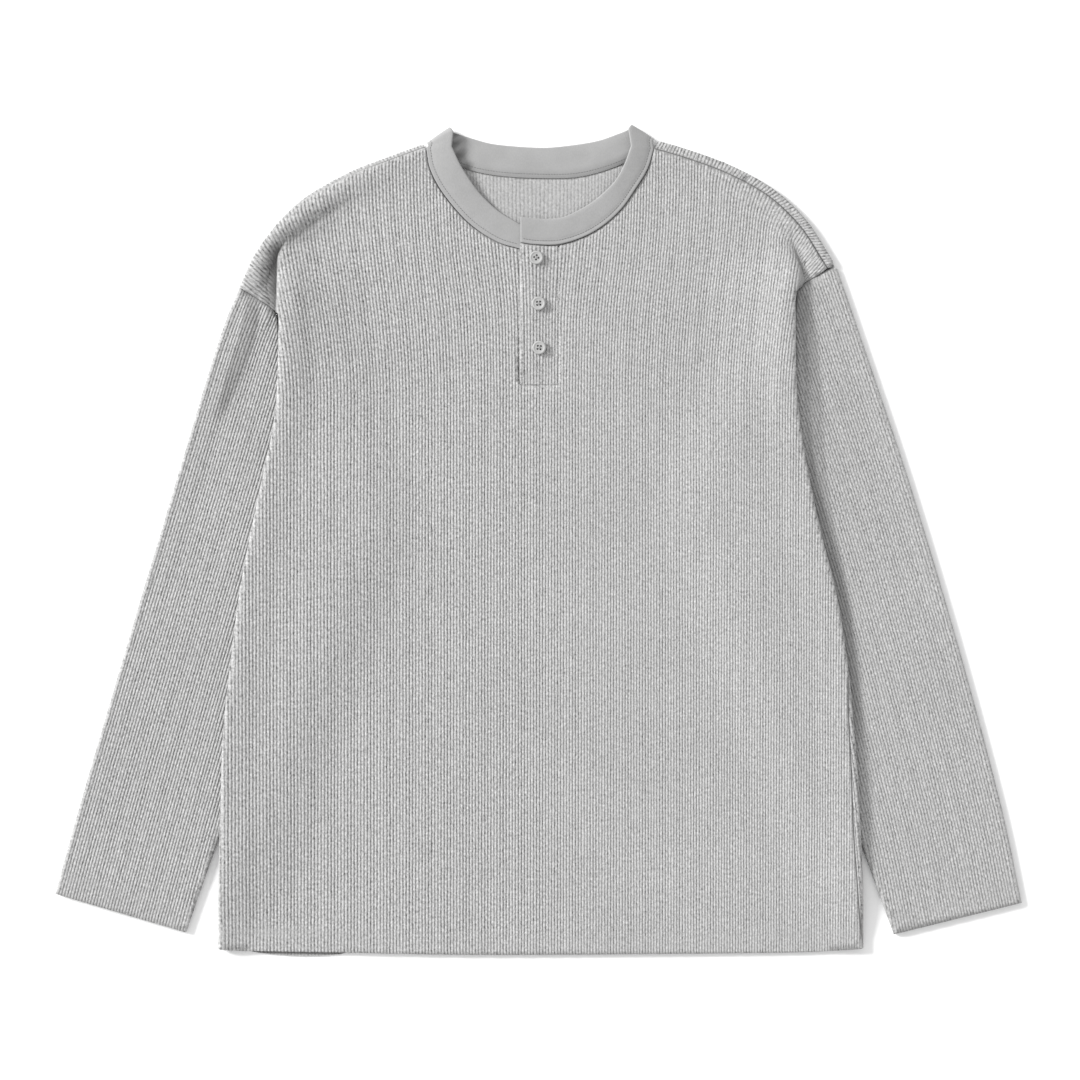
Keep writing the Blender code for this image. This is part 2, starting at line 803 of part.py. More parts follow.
def folded_surface(level, x, y, upward):
    """A panel over its plan, with what lies past its folds wrapped round them."""
    place_x = x.copy()
    place_y = y.copy()
    rise = np.zeros(x.shape)
    for name, start, sign in BODY_FOLDS:
        if "side" in name:
            fade = smooth_step(((BACK_SIDE_TOP + 12.0 if upward else start) - y) / 9.0)
        else:
            fade = smooth_step((y - start) / 9.0)
        gap, nx, ny = nearest(FOLD_AXES[name], x, y)
        past = np.clip(-gap, 0.0, None) * fade * (sign * x > 95.0)
        angle = np.clip(past / INNER_RADIUS, 0.0, math.pi if upward else ROLL)
        out = INNER_RADIUS * np.sin(angle)
        beyond = np.clip(past - INNER_RADIUS * math.pi, 0.0, None) if upward else 0.0
        bend = past > 0
        place_x = np.where(bend, x + nx * (past - out + beyond), place_x)
        place_y = np.where(bend, y + ny * (past - out + beyond), place_y)
        rise = np.where(bend, INNER_RADIUS * (1.0 - np.cos(angle)), rise)
    z = level(place_x, place_y)
    return np.column_stack([place_x, place_y, z + rise if upward else z - rise])


def step_points(loop):
    """Points of the front's plain face along the foot and top of its step to the left shoulder."""
    heights = np.arange(*STEP_ROWS)
    spots = [np.column_stack([read(LEFT_BODY_FOLD, heights) + offset, heights]) for offset in STEP_OFFSETS]
    spots = np.vstack(spots)
    x, y = spots[:, 0], spots[:, 1]
    return spots[inside(loop, x, y) & (edge_distance(loop, x, y) > STEP_CLEARANCE)]


def panel(name, surface, loop, folded, outward, wales, plain_every):
    """A panel's closed wall: a ribbed or plain outer face over a plain inner face."""
    lines = body_lines(wales)
    wall = Wall()
    rows = (HALF_ROLL * 0.5, HALF_ROLL, HALF_ROLL * 1.5) if outward < 0 else (HALF_ROLL * 0.5, HALF_ROLL)
    behind = behind_edge(loop, folded, rows)
    margin = rows[-1] + EDGE_CLEARANCE
    faces = []
    for step, face in ((1, "outer"), (plain_every, "inner")):
        offset = outward * WALL if face == "outer" else 0.0
        ribs, rib_runs, kept = rib_lines(lines[::step], wales[::step], loop, margin)
        fill, runs = merged(behind, (ribs, rib_runs))
        if face == "inner" and outward > 0:
            fill = np.vstack([fill, step_points(loop)])
        plan = np.vstack([loop, fill])
        lift = np.full(len(plan), offset)
        if face == "outer" and outward > 0:
            lift[len(plan) - len(ribs) :] += rib_relief(kept)
        indices = wall.add(pushed(surface, plan[:, 0], plan[:, 1], lift))
        wall.sheet(indices, triangulate(loop, fill, runs), flip=(face == "inner"))
        faces.append(indices[: len(loop)])
    wall.rim(*faces)
    return wall.finish(name, KNIT_GREY, KNIT_ROUGHNESS)


# ---------------------------------------------------------------- front


def front_surface(x, y):
    return folded_surface(body_inner, x, y, upward=False)


def front_loop(step=EDGE_STEP):
    """Plan of the front, anticlockwise from its lower left corner, and which points are folded."""
    left = fold_edge("left_side", step, back=False)
    right = fold_edge("right_side", step, back=False)
    left = left[left[:, 1] < 195.0]
    right = right[right[:, 1] < 213.0]
    left[-1, 1] = -357.3
    right[0, 1] = -356.6
    hem = curve(FRONT_HEM, 2 * step)[1:-1]
    left_arm = moved(curve(LEFT_ARMHOLE[::-1], step), -SEAM_GAP / 2)[:-1]
    right_arm = moved(curve(RIGHT_ARMHOLE[::-1], step), SEAM_GAP / 2)
    right_arm = right_arm[right_arm[:, 0] < 249.5]
    left_top = fold_edge("left_shoulder", NECK_STEP, back=False)
    right_top = fold_edge("right_shoulder", NECK_STEP, back=False)
    left_neck = moved(curve(LEFT_NECK_SEAM, NECK_STEP), SEAM_GAP / 2)[1:-1]
    right_neck = moved(curve(RIGHT_NECK_SEAM, NECK_STEP), -SEAM_GAP / 2)[1:-1]
    notch_left = PLACKET_LEFT - SEAM_GAP
    notch_right = PLACKET_RIGHT + SEAM_GAP
    notch_foot = PLACKET_FOOT - SEAM_GAP
    right_neck = right_neck[right_neck[:, 0] > notch_right + 2.0]
    notch = np.array(
        [
            (notch_left, 253.2),
            (notch_left, 195.0),
            (notch_left, notch_foot),
            (notch_right, notch_foot),
            (notch_right, 195.0),
            (notch_right, 257.0),
        ]
    )
    return join(
        (hem, False),
        (right, True),
        (right_arm, False),
        (right_top, False),
        (right_neck[::-1], False),
        (notch[::-1], False),
        (left_neck, False),
        (left_top, False),
        (left_arm[::-1], False),
        (left, True),
    )


def make_front():
    loop, folded = front_loop()
    folded = folded | ((loop[:, 0] < -196.0) & (loop[:, 1] > 226.0))
    return panel("front", front_surface, loop, folded, 1.0, WALES, PLAIN_EVERY)


# ---------------------------------------------------------------- back


def back_inner(x, y):
    """Level of the back's inner face, before its edges are folded up over the front."""
    lift = over_sleeve(x, y, 146.0) * smooth_step((196.0 - y) / 12.0)
    return BACK_LEVEL + SLEEVE_STACK * lift


def back_surface(x, y):
    return folded_surface(back_inner, x, y, upward=True)


def back_loop(step=EDGE_STEP):
    """Plan of the back, anticlockwise from its lower left corner, and which points are folded."""
    left = fold_edge("left_side", step, back=True)
    right = fold_edge("right_side", step, back=True)
    left = left[left[:, 1] < BACK_SIDE_TOP]
    right = right[right[:, 1] < BACK_SIDE_TOP]
    left[-1, 1] = -355.1
    right[0, 1] = -354.0
    hem = curve(BACK_HEM, 2 * step)[1:-1]
    left_arm = moved(curve(LEFT_ARMHOLE[::-1], step), -SEAM_GAP / 2)
    right_arm = moved(curve(RIGHT_ARMHOLE[::-1], step), SEAM_GAP / 2)
    right_arm[-1] = right_arm[-2] * 0.15 + right_arm[-1] * 0.85
    left_top = fold_edge("left_shoulder", NECK_STEP, back=True)
    right_top = fold_edge("right_shoulder", NECK_STEP, back=True)
    neck = moved(curve(BACK_NECK_SEAM, 12.0), -SEAM_GAP / 2)[1:-1]
    left_hidden = np.array([(-BACK_SIDE, 192.0), (-BACK_SIDE, BACK_SIDE_TOP + 3.0)])
    right_hidden = np.array([(BACK_SIDE, BACK_SIDE_TOP + 3.0), (BACK_SIDE, 180.0), (BACK_SIDE, 213.0)])
    return join(
        (hem, False),
        (right, True),
        (right_hidden, False),
        (right_arm, False),
        (right_top, True),
        (np.array([(BAND_FOOT_RIGHT, 341.6)]), False),
        (neck[::-1], False),
        (np.array([(BAND_FOOT_LEFT, 341.6)]), False),
        (left_top, True),
        (left_arm[::-1], False),
        (left_hidden, False),
        (left, True),
    )


def make_back():
    loop, folded = back_loop()
    return panel("back", back_surface, loop, folded, -1.0, WALES[::BACK_EVERY], 1)


# ---------------------------------------------------------------- sleeves


def sleeve_surface(outer_axis, inner_axis, valley, top):
    """A sleeve's inner face, laid on the surface or over it, with both long edges folded."""

    def surface(x, y):
        place_x = x.copy()
        place_y = y.copy()
        bend = np.zeros(x.shape)
        for axis in (outer_axis, inner_axis):
            gap, nx, ny = nearest(axis, x, y)
            past = np.clip(-gap, 0.0, SLEEVE_ROLL)
            angle = past / SLEEVE_INNER_RADIUS
            place_x = place_x + nx * (past - SLEEVE_INNER_RADIUS * np.sin(angle))
            place_y = place_y + ny * (past - SLEEVE_INNER_RADIUS * np.sin(angle))
            bend = bend + SLEEVE_INNER_RADIUS * (1.0 - np.cos(angle))
        if not top:
            return np.column_stack([place_x, place_y, WALL + bend])
        edge = np.minimum(nearest(outer_axis, x, y)[0], nearest(inner_axis, x, y)[0])
        relief = swell(valley, VALLEY_WIDTH, VALLEY_DEPTH, place_x, place_y) * smooth_step(edge / 8.0)
        return np.column_stack([place_x, place_y, SLEEVE_LEVEL + relief - bend])

    return surface


def sleeve_loop(outer, inner, armhole, end_top, step=EDGE_STEP):
    """Plan of a sleeve on the -X side, anticlockwise from the top of its outer edge."""
    outer_axis = moved(curve(outer, step), SLEEVE_RADIUS + RIB_HEIGHT)
    inner_axis = moved(curve(inner, step), SLEEVE_RADIUS + 0.2)
    outer_edge = moved(outer_axis, -SLEEVE_ROLL)
    inner_edge = moved(inner_axis, -SLEEVE_ROLL)
    hidden = curve([(-x, y) for x, y in HIDDEN_END if y < end_top], step)
    arm = moved(curve(armhole, step), -SEAM_GAP / 2)
    cuff = np.linspace(outer_edge[-1], inner_edge[0], 7)[1:-1]
    loop, folded = join(
        (outer_edge, True),
        (cuff, False),
        (inner_edge, True),
        (hidden[1:], False),
        (arm[::-1][:-1], False),
    )
    return loop, folded, outer_axis, inner_axis


def sleeve_lines(outer_axis, wales, rows):
    """Rib lines of a sleeve, side by side from its outer edge."""
    start, end = outer_axis[0], outer_axis[-1]
    first = start + (start - outer_axis[1]) / np.linalg.norm(start - outer_axis[1]) * 90.0
    last = end + (end - outer_axis[-2]) / np.linalg.norm(end - outer_axis[-2]) * 60.0
    long = curve(np.vstack([first, outer_axis, last]), 4.0)
    spots = np.linspace(0, len(long) - 1, rows).astype(int)
    run = np.gradient(long, axis=0)
    normal = np.column_stack([-run[:, 1], run[:, 0]]) / np.linalg.norm(run, axis=1)[:, None]
    return [long[spots] + normal[spots] * wale for wale in wales]


def make_sleeve(name, sign, outer, inner, armhole, valley, end_top):
    """A sleeve as one flattened tube, worked out on the -X side and mirrored for the other."""
    loop, folded, outer_axis, inner_axis = sleeve_loop(outer, inner, armhole, end_top)
    lines = sleeve_lines(outer_axis, SLEEVE_WALES, SLEEVE_ROWS)
    behind = behind_edge(loop, folded, (SLEEVE_ROLL * 0.5, SLEEVE_ROLL))
    margin = SLEEVE_ROLL + EDGE_CLEARANCE
    wall = Wall()
    edges = {}
    for top in (True, False):
        surface = sleeve_surface(outer_axis, inner_axis, valley, top)
        for face in ("outer", "inner"):
            ribbed = top and face == "outer"
            step = 1 if ribbed else SLEEVE_PLAIN_EVERY
            ribs, rib_runs, kept = rib_lines(lines[::step], SLEEVE_WALES[::step], loop, margin)
            fill, runs = merged(behind, (ribs, rib_runs))
            plan = np.vstack([loop, fill])
            if face == "outer":
                lift = np.full(len(plan), WALL if top else -WALL)
                if ribbed:
                    lift[len(plan) - len(ribs) :] += rib_relief(kept)
                places = pushed(surface, plan[:, 0], plan[:, 1], lift)
            else:
                places = surface(plan[:, 0], plan[:, 1])
            places[:, 0] *= -sign
            indices = wall.add(places)
            if not top:
                shared = edges[(True, face)]
                kept = [i < len(loop) and folded[i] for i in range(len(indices))]
                indices = [shared[i] if kept[i] else indices[i] for i in range(len(indices))]
            wall.sheet(indices, triangulate(loop, fill, runs), flip=(face == "inner") == top)
            edges[(top, face)] = indices[: len(loop)]
    for top in (True, False):
        for i in range(len(loop)):
            j = (i + 1) % len(loop)
            if folded[i] and folded[j]:
                continue
            outer_pair, inner_pair = ([edges[(top, face)][k] for k in (i, j)] for face in ("outer", "inner"))
            wall.rim(outer_pair, inner_pair, closed=False)
    return wall.finish(name, KNIT_GREY, KNIT_ROUGHNESS)


# ---------------------------------------------------------------- neckband


def band_rows(edge, seam, heights, count):
    """Rows across the band from its free edge to its seam, from the placket to the shoulder."""
    share = np.linspace(0.0, 1.0, count)
    table = np.array(heights)
    rows = []
    for column, path in ((1, edge), (2, seam)):
        path = curve(path, 1.0)
        along = np.linspace(0.0, 1.0, len(path))
        z = np.interp(share, table[:, 0], table[:, column])
        x = np.interp(share, along, path[:, 0])
        y = np.interp(share, along, path[:, 1])
        rows.append(np.column_stack([x, y, z]))
    return np.stack(rows, axis=1)


def band_roll(peak, foot, heights):
    """Rows round the band's fold at a shoulder, from the top to the surface."""
    peak = np.array(peak)
    foot = np.array(foot)
    run = (foot - peak) / np.linalg.norm(foot - peak)
    out = np.array([-run[1], run[0]])
    if out[1] < 0:
        out = -out
    rows = []
    for k in range(BAND_ROLL_STEPS + 1):
        angle = math.pi * k / BAND_ROLL_STEPS
        row = []
        for corner, top in ((peak, heights[-1][1]), (foot, heights[-1][2])):
            radius = (top - BAND_LOW) / 2
            place = corner - out * (radius + BAND_WALL / 2) + out * radius * math.sin(angle)
            row.append((place[0], place[1], BAND_LOW + radius + radius * math.cos(angle)))
        rows.append(row)
    return np.array(rows)


def strip_wall(rows, half, name):
    """A closed strip half a wall to each side of rows of points."""
    along = np.gradient(rows, axis=0)
    across = np.repeat((rows[:, -1:] - rows[:, :1]), rows.shape[1], axis=1)
    normal = np.cross(across, along)
    normal /= np.linalg.norm(normal, axis=2)[:, :, None]
    wall = Wall()
    upper = wall.grid(rows + normal * half, flip=False)
    lower = wall.grid(rows - normal * half, flip=True)
    wall.rim(upper, lower)
    return wall.finish(name, BAND_GREY, BAND_ROUGHNESS)


def neckband_rows(front_count=18, back_count=14):
    """Rows across the whole band: wearer's left end, shoulder, back, shoulder, and the end beneath."""
    right_seam = moved(curve(RIGHT_NECK_SEAM, 4.0), BAND_SEAM_IN)
    left_seam = moved(curve(LEFT_NECK_SEAM, 4.0), -BAND_SEAM_IN)
    right = band_rows(RIGHT_NECK_EDGE, right_seam, NECK_HEIGHTS, front_count)
    left = band_rows(LEFT_NECK_EDGE, left_seam, LEFT_NECK_HEIGHTS, front_count)
    right_roll = band_roll(RIGHT_NECK_PEAK, RIGHT_NECK_FOOT, NECK_HEIGHTS)
    left_roll = band_roll(LEFT_NECK_PEAK, LEFT_NECK_FOOT, LEFT_NECK_HEIGHTS)
    back_edge = curve(BACK_NECK_EDGE, 4.0)[::-1]
    back_seam = moved(curve(BACK_NECK_SEAM, 4.0), SEAM_GAP / 2)[::-1]
    share = np.linspace(0.0, 1.0, back_count)
    back = []
    for path in (back_edge, back_seam):
        along = np.linspace(0.0, 1.0, len(path))
        x = np.interp(share, along, path[:, 0])
        y = np.interp(share, along, path[:, 1])
        back.append(np.column_stack([x, y, np.full(x.shape, BAND_LOW)]))
    back = np.stack(back, axis=1)
    under = left[0] + np.array([BAND_END_EDGE, BAND_END_SEAM])
    rows = np.concatenate([right, right_roll, back, left_roll[::-1], left[::-1], under[None]])
    middle = rows.mean(axis=1, keepdims=True)
    return np.concatenate([rows[:, :1], middle, rows[:, 1:]], axis=1)


def make_neckband():
    return strip_wall(neckband_rows(), BAND_WALL / 2, "neckband")


# ---------------------------------------------------------------- placket


def placket_level(x):
    slope = smooth_step((x - PLACKET_SLOPE_START) / (PLACKET_RIGHT - PLACKET_SLOPE_START))
    return PLACKET_TOP_LEVEL + (PLACKET_SEAM_LEVEL - PLACKET_TOP_LEVEL) * slope


def strip_heads(xs, seam):
    """Where an upright strip ends under the neckband, at each x."""
    seam = curve(seam, 2.0)
    return np.interp(xs, seam[:, 0], seam[:, 1]) - SEAM_GAP


def make_strip(name, xs, foot, heads, levels, relief):
    """An upright strip of the placket: a wall with ribs that run down it."""
    rows = []
    for x, head, level in zip(xs, heads, levels):
        rows.append([(x, y, level) for y in (foot,) + STRIP_ROWS + (head,)])
    lower = np.array(rows)
    upper = lower.copy()
    upper[:, :, 2] += WALL + relief[:, None]
    wall = Wall()
    wall.rim(wall.grid(upper, flip=False), wall.grid(lower, flip=True))
    return wall.finish(name, KNIT_GREY, KNIT_ROUGHNESS)


def make_placket():
    xs = np.linspace(PLACKET_LEFT, PLACKET_RIGHT, 27)
    relief = rib_relief(xs)
    relief[[0, -1]] = 0.0
    make_strip("placket_upper", xs, PLACKET_FOOT, strip_heads(xs, RIGHT_NECK_SEAM), placket_level(xs), relief)
    xs = np.linspace(PLACKET_LEFT, UNDER_STRIP_RIGHT, 7)
    heads = np.full(xs.shape, UNDER_STRIP_TOP)
    levels = np.full(xs.shape, UNDER_STRIP_LEVEL)
    make_strip("placket_under", xs, PLACKET_FOOT + STRIP_INSET, heads, levels, np.zeros(xs.shape))


# ---------------------------------------------------------------- buttons


def make_button(name, x, y, turn):
    """A turned button with a raised rim and a dished face, and four holes right through it."""
    bm = bmesh.new()
    spots = [bm.verts.new((r * BUTTON_RADIUS * MM, 0.0, h * BUTTON_HEIGHT * MM)) for r, h in BUTTON_PROFILE]
    edges = [bm.edges.new(pair) for pair in zip(spots, spots[1:])]
    bmesh.ops.spin(
        bm,
        geom=spots + edges,
        axis=(0, 0, 1),
        cent=(0, 0, 0),
        angle=2 * math.pi,
        steps=BUTTON_SIDES,
        use_duplicate=False,
    )
    bmesh.ops.remove_doubles(bm, verts=bm.verts, dist=1e-6)
    bmesh.ops.recalc_face_normals(bm, faces=bm.faces)
    mesh = bpy.data.meshes.new(name)
    bm.to_mesh(mesh)
    bm.free()
    mesh.shade_smooth()
    mesh.set_sharp_from_angle(angle=BUTTON_SMOOTH_ANGLE)
    button = bpy.data.objects.new(name, mesh)
    bpy.context.scene.collection.objects.link(button)
    mesh.materials.append(finish_of(name, BUTTON_GREY, BUTTON_ROUGHNESS))
    level = PLACKET_TOP_LEVEL + WALL + RIB_HEIGHT + BUTTON_LIFT
    button.location = (x * MM, y * MM, level * MM)
    button.rotation_euler = (0.0, 0.0, math.radians(turn))
    holes = bmesh.new()
    for sx in (-1, 1):
        for sy in (-1, 1):
            reach = BUTTON_HOLE_REACH / math.sqrt(2.0) * MM
            place = Matrix.Translation((sx * reach, sy * reach, BUTTON_HEIGHT * 0.5 * MM))
            bmesh.ops.create_cone(
                holes,
                cap_ends=True,
                segments=HOLE_SIDES,
                radius1=BUTTON_HOLE_RADIUS * MM,
                radius2=BUTTON_HOLE_RADIUS * MM,
                depth=BUTTON_HEIGHT * 2 * MM,
                matrix=place,
            )
    cutter_mesh = bpy.data.meshes.new(name + "_holes")
    holes.to_mesh(cutter_mesh)
    holes.free()
    cutter = bpy.data.objects.new(name + "_holes", cutter_mesh)
    bpy.context.scene.collection.objects.link(cutter)
    cutter.location = button.location
    cutter.rotation_euler = button.rotation_euler
    cutter.hide_render = True
    cutter.display_type = "WIRE"
    cut = button.modifiers.new("holes", "BOOLEAN")
    cut.operation = "DIFFERENCE"
    cut.solver = "EXACT"
    cut.object = cutter
    return button


make_front()
make_back()
make_sleeve(
    "sleeve_right",
    -1.0,
    LEFT_SLEEVE_OUTER,
    LEFT_SLEEVE_INNER,
    LEFT_ARMHOLE,
    RIGHT_SLEEVE_VALLEY,
    170.0,
)
make_sleeve(
    "sleeve_left",
    1.0,
    mirrored(RIGHT_SLEEVE_OUTER),
    mirrored(RIGHT_SLEEVE_INNER),
    mirrored(RIGHT_ARMHOLE),
    LEFT_SLEEVE_VALLEY,
    200.0,
)
make_neckband()
make_placket()
for row in BUTTONS:
    make_button(*row)
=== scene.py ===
"""A long-sleeved rib-knit henley shirt, laid flat on its back, front up."""

import math

import bmesh
import bpy
import numpy as np
from mathutils import Matrix, Vector
from mathutils.geometry import delaunay_2d_cdt
from mathutils.kdtree import KDTree


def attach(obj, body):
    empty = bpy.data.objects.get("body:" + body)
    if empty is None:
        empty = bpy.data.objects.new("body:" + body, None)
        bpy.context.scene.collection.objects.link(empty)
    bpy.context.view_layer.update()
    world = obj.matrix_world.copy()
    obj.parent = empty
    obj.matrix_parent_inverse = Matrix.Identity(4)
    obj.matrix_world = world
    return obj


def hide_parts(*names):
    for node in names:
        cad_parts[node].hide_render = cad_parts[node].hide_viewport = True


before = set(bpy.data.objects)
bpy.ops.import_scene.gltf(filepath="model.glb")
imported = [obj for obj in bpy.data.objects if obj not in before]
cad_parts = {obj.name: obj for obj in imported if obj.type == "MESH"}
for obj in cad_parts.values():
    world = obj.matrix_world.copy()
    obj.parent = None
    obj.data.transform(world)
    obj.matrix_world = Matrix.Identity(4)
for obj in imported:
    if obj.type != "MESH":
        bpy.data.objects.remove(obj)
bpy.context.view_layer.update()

# ---------------------------------------------------------------- the table, the light, the camera
# The shirt lies on a plain white table top, in an even white room with one low soft lamp to the
# left of it. The camera looks straight down.

MM = 0.001
TABLE_SIZE = 9.0
TABLE_DROP = 0.0004
ROOM_STRENGTH = 0.84
KEY_WAY = (-1.0, 0.5, 0.56)
KEY_SOFTNESS = 0.26
KEY_STRENGTH = 4.1
CAMERA_PLACE = (0.0013, -0.0004, 3.0)
CAMERA_LENS = 114.3


def grey(value):
    return (value, value, value)


def placed(name, data):
    """A new object in the scene."""
    item = bpy.data.objects.new(name, data)
    bpy.context.scene.collection.objects.link(item)
    return item


def baked(name, bm):
    """A mesh from a bmesh, which is then gone."""
    mesh = bpy.data.meshes.new(name)
    bm.to_mesh(mesh)
    bm.free()
    return mesh


def add_node(tree, kind, inputs, **settings):
    """The outputs of a new node. What its inputs get is linked if it is a socket, and else set on them."""
    node = tree.nodes.new(kind)
    for word, value in settings.items():
        setattr(node, word, value)
    for word, value in inputs.items():
        if isinstance(value, bpy.types.NodeSocket):
            tree.links.new(value, node.inputs[word])
        else:
            node.inputs[word].default_value = value
    return node.outputs


def value_node(tree, operation, *inputs):
    """One sum of a node tree, of numbers and of other nodes' outputs."""
    return add_node(tree, "ShaderNodeMath", dict(enumerate(inputs)), operation=operation)[0]


def object_place(tree):
    return add_node(tree, "ShaderNodeTexCoord", {})["Object"]


def noise_node(tree, place, scale, detail=2.0, roughness=0.5):
    inputs = {"Scale": scale, "Detail": detail, "Roughness": roughness, "Vector": place}
    return add_node(tree, "ShaderNodeTexNoise", inputs)[0]


def mixed(tree, factor, a, b, blend="MIX"):
    """Two colours mixed by a factor. Each of the three is a constant or an output."""
    inputs = {"Factor": factor, "A": a, "B": b}
    return add_node(tree, "ShaderNodeMix", inputs, data_type="RGBA", blend_type=blend)["Result"]


def tinted(tree, value, dark, light):
    """A colour from dark to light by a value from 0 to 1."""
    return mixed(tree, value, (*dark, 1.0), (*light, 1.0))


def new_material(name, roughness):
    """A material with its tree and its shader, and a roughness that is the same all over."""
    material = bpy.data.materials.new(name)
    material.use_nodes = True
    tree = material.node_tree
    shader = tree.nodes["Principled BSDF"]
    shader.inputs["Roughness"].default_value = roughness
    return material, tree, shader


def add_bump(tree, shader, height, strength, distance):
    """Raises the look of a material by a height from 0 to 1."""
    inputs = {"Height": height, "Strength": strength, "Distance": distance}
    tree.links.new(add_node(tree, "ShaderNodeBump", inputs)["Normal"], shader.inputs["Normal"])


def table_finish():
    material, tree, shader = new_material("table_paint", 0.85)
    cloud = noise_node(tree, object_place(tree), 3.0)
    tree.links.new(tinted(tree, cloud, grey(0.93), grey(0.96)), shader.inputs["Base Color"])
    shader.inputs["Specular IOR Level"].default_value = 0.1
    return material


bm = bmesh.new()
bmesh.ops.create_grid(
    bm, x_segments=2, y_segments=2, size=TABLE_SIZE / 2, matrix=Matrix.Translation((0.0, 0.0, -TABLE_DROP))
)
table = placed("table_top", baked("table_top", bm))
table.data.materials.append(table_finish())

room = bpy.data.worlds.new("white_room")
room.use_nodes = True
room.node_tree.nodes["Background"].inputs["Color"].default_value = (1.0, 1.0, 1.0, 1.0)
room.node_tree.nodes["Background"].inputs["Strength"].default_value = ROOM_STRENGTH
bpy.context.scene.world = room
bpy.context.scene.view_settings.view_transform = "Standard"

key_data = bpy.data.lights.new("key_lamp", "SUN")
key_data.angle = KEY_SOFTNESS
key_data.energy = KEY_STRENGTH
key_lamp = placed("key_lamp", key_data)
key_lamp.location = KEY_WAY
key_lamp.rotation_euler = (-Vector(KEY_WAY)).to_track_quat("-Z", "Y").to_euler()

camera_data = bpy.data.cameras.new("camera")
camera_data.sensor_width = 36.0
camera_data.lens = CAMERA_LENS
camera = placed("camera", camera_data)
camera.location = CAMERA_PLACE
bpy.context.scene.camera = camera

# ---------------------------------------------------------------- back
# The back is one panel of rib knit. It lies on the table, its sides and shoulders are folded up
# to meet the front, and its hem is turned up and sewn. Its inside shows in the neck.

WALL = 1.5
RIB_PITCH = 2.63
RIB_HEIGHT = 0.55
SEAM_GAP = 0.35
BACK_LEVEL = 1.5
SLEEVE_STACK = 5.6
FOLD_RADIUS = 3.3
OVER_SLEEVE_RAMP = 60.0
BACK_SIDE = 218.8
BACK_SIDE_TOP = 146.5
BACK_FEET = (-355.1, -354.0)
BAND_FEET = ((-99.2, 341.6), (102.0, 341.6))
ARMHOLE_FEET = (192.0, 213.0)
BACK_LIFT = (146.0, 196.0)
RIGHT_SHOULDER_SHIFT = 7.6
LEFT_SHOULDER_SHIFT = 2.8

SIDES = [  # y, left_x, right_x
    (208.0, -227.1, 224.8), (140.0, -228.5, 225.8), (100.0, -232.3, 229.4), (56.0, -241.5, 236.8),
    (8.0, -251.6, 247.0), (-45.0, -261.6, 260.3), (-103.0, -269.1, 270.0), (-160.0, -275.3, 275.5),
    (-210.0, -277.8, 279.6), (-300.0, -280.0, 283.6), (-356.0, -280.6, 284.6),
]
BACK_HEM = [  # x, y
    (-279.0, -355.4), (-262.0, -357.8), (-240.0, -361.8), (-205.0, -364.0), (-175.0, -362.8),
    (-150.0, -360.8), (26.0, -360.5), (209.0, -359.0), (283.0, -355.5),
]
LEFT_SHOULDER = [  # x, y
    (-100.0, 346.5), (-129.9, 335.6), (-165.8, 321.6), (-202.6, 300.6), (-226.2, 279.6),
    (-247.2, 251.6), (-261.5, 222.0),
]
RIGHT_SHOULDER = [  # x, y
    (103.4, 349.7), (128.2, 342.6), (166.7, 328.6), (205.2, 307.6), (234.9, 279.6), (253.3, 251.6),
    (259.6, 241.5),
]
RIGHT_SIDE_SHIFT = [  # y, how far past the fold the side seam lies
    (-357.0, 0.6), (-336.0, 2.6), (-311.0, 4.2), (-260.0, 6.0), (-220.0, 5.8), (-165.0, 4.2),
    (-120.0, 1.6), (-95.0, 0.0), (230.0, 0.0),
]
LEFT_ARMHOLE = [(-261.5, 221.0), (-246.0, 210.5), (-236.0, 204.0), (-228.5, 197.0)]  # x, y
RIGHT_ARMHOLE = [(261.2, 237.5), (253.8, 236.5), (242.8, 230.0), (232.3, 223.5), (225.5, 218.0)]
LEFT_BODY_FOLD = [  # y, x
    (197.0, -227.4), (209.0, -227.1), (238.0, -226.7), (249.0, -225.3), (261.0, -219.2),
    (276.0, -211.0),
]
RIGHT_BODY_FOLD = [  # y, x
    (205.0, 224.6), (218.0, 225.0), (224.0, 230.5), (240.0, 227.5), (262.0, 220.0),
]
LEFT_SLEEVE_INNER = [(-307.6, -343.4), (-285.7, -280.4), (-230.0, -122.0), (-175.0, 20.0)]  # x, y
RIGHT_SLEEVE_INNER = [(310.2, -345.2), (286.6, -280.4), (230.0, -122.0), (175.0, 20.0)]
HIDDEN_END = [(175.0, 20.0), (200.0, 90.0), (222.0, 150.0), (222.5, 178.0)]
BACK_NECK_SEAM = [  # x, y
    (-98.4, 341.0), (-66.9, 325.1), (-37.2, 318.1), (0.0, 315.7), (34.6, 316.7), (66.0, 325.1),
    (101.0, 341.0),
]
EDGE_STEP = 3.0
EDGE_GRAIN = 0.5
JOIN_GAP = 0.6
CURVE_GRAIN = 0.05
BACK_GROOVE = 0.42
BACK_INNER_RIB = 0.3
HEM_SEWN_FROM = -352.0
HEM_DEPTH = 17.0
HEM_PRESS = 0.16
HEM_SEAM_PRESS = 0.4


def smooth_step(t):
    t = np.clip(t, 0.0, 1.0)
    return t * t * (3.0 - 2.0 * t)


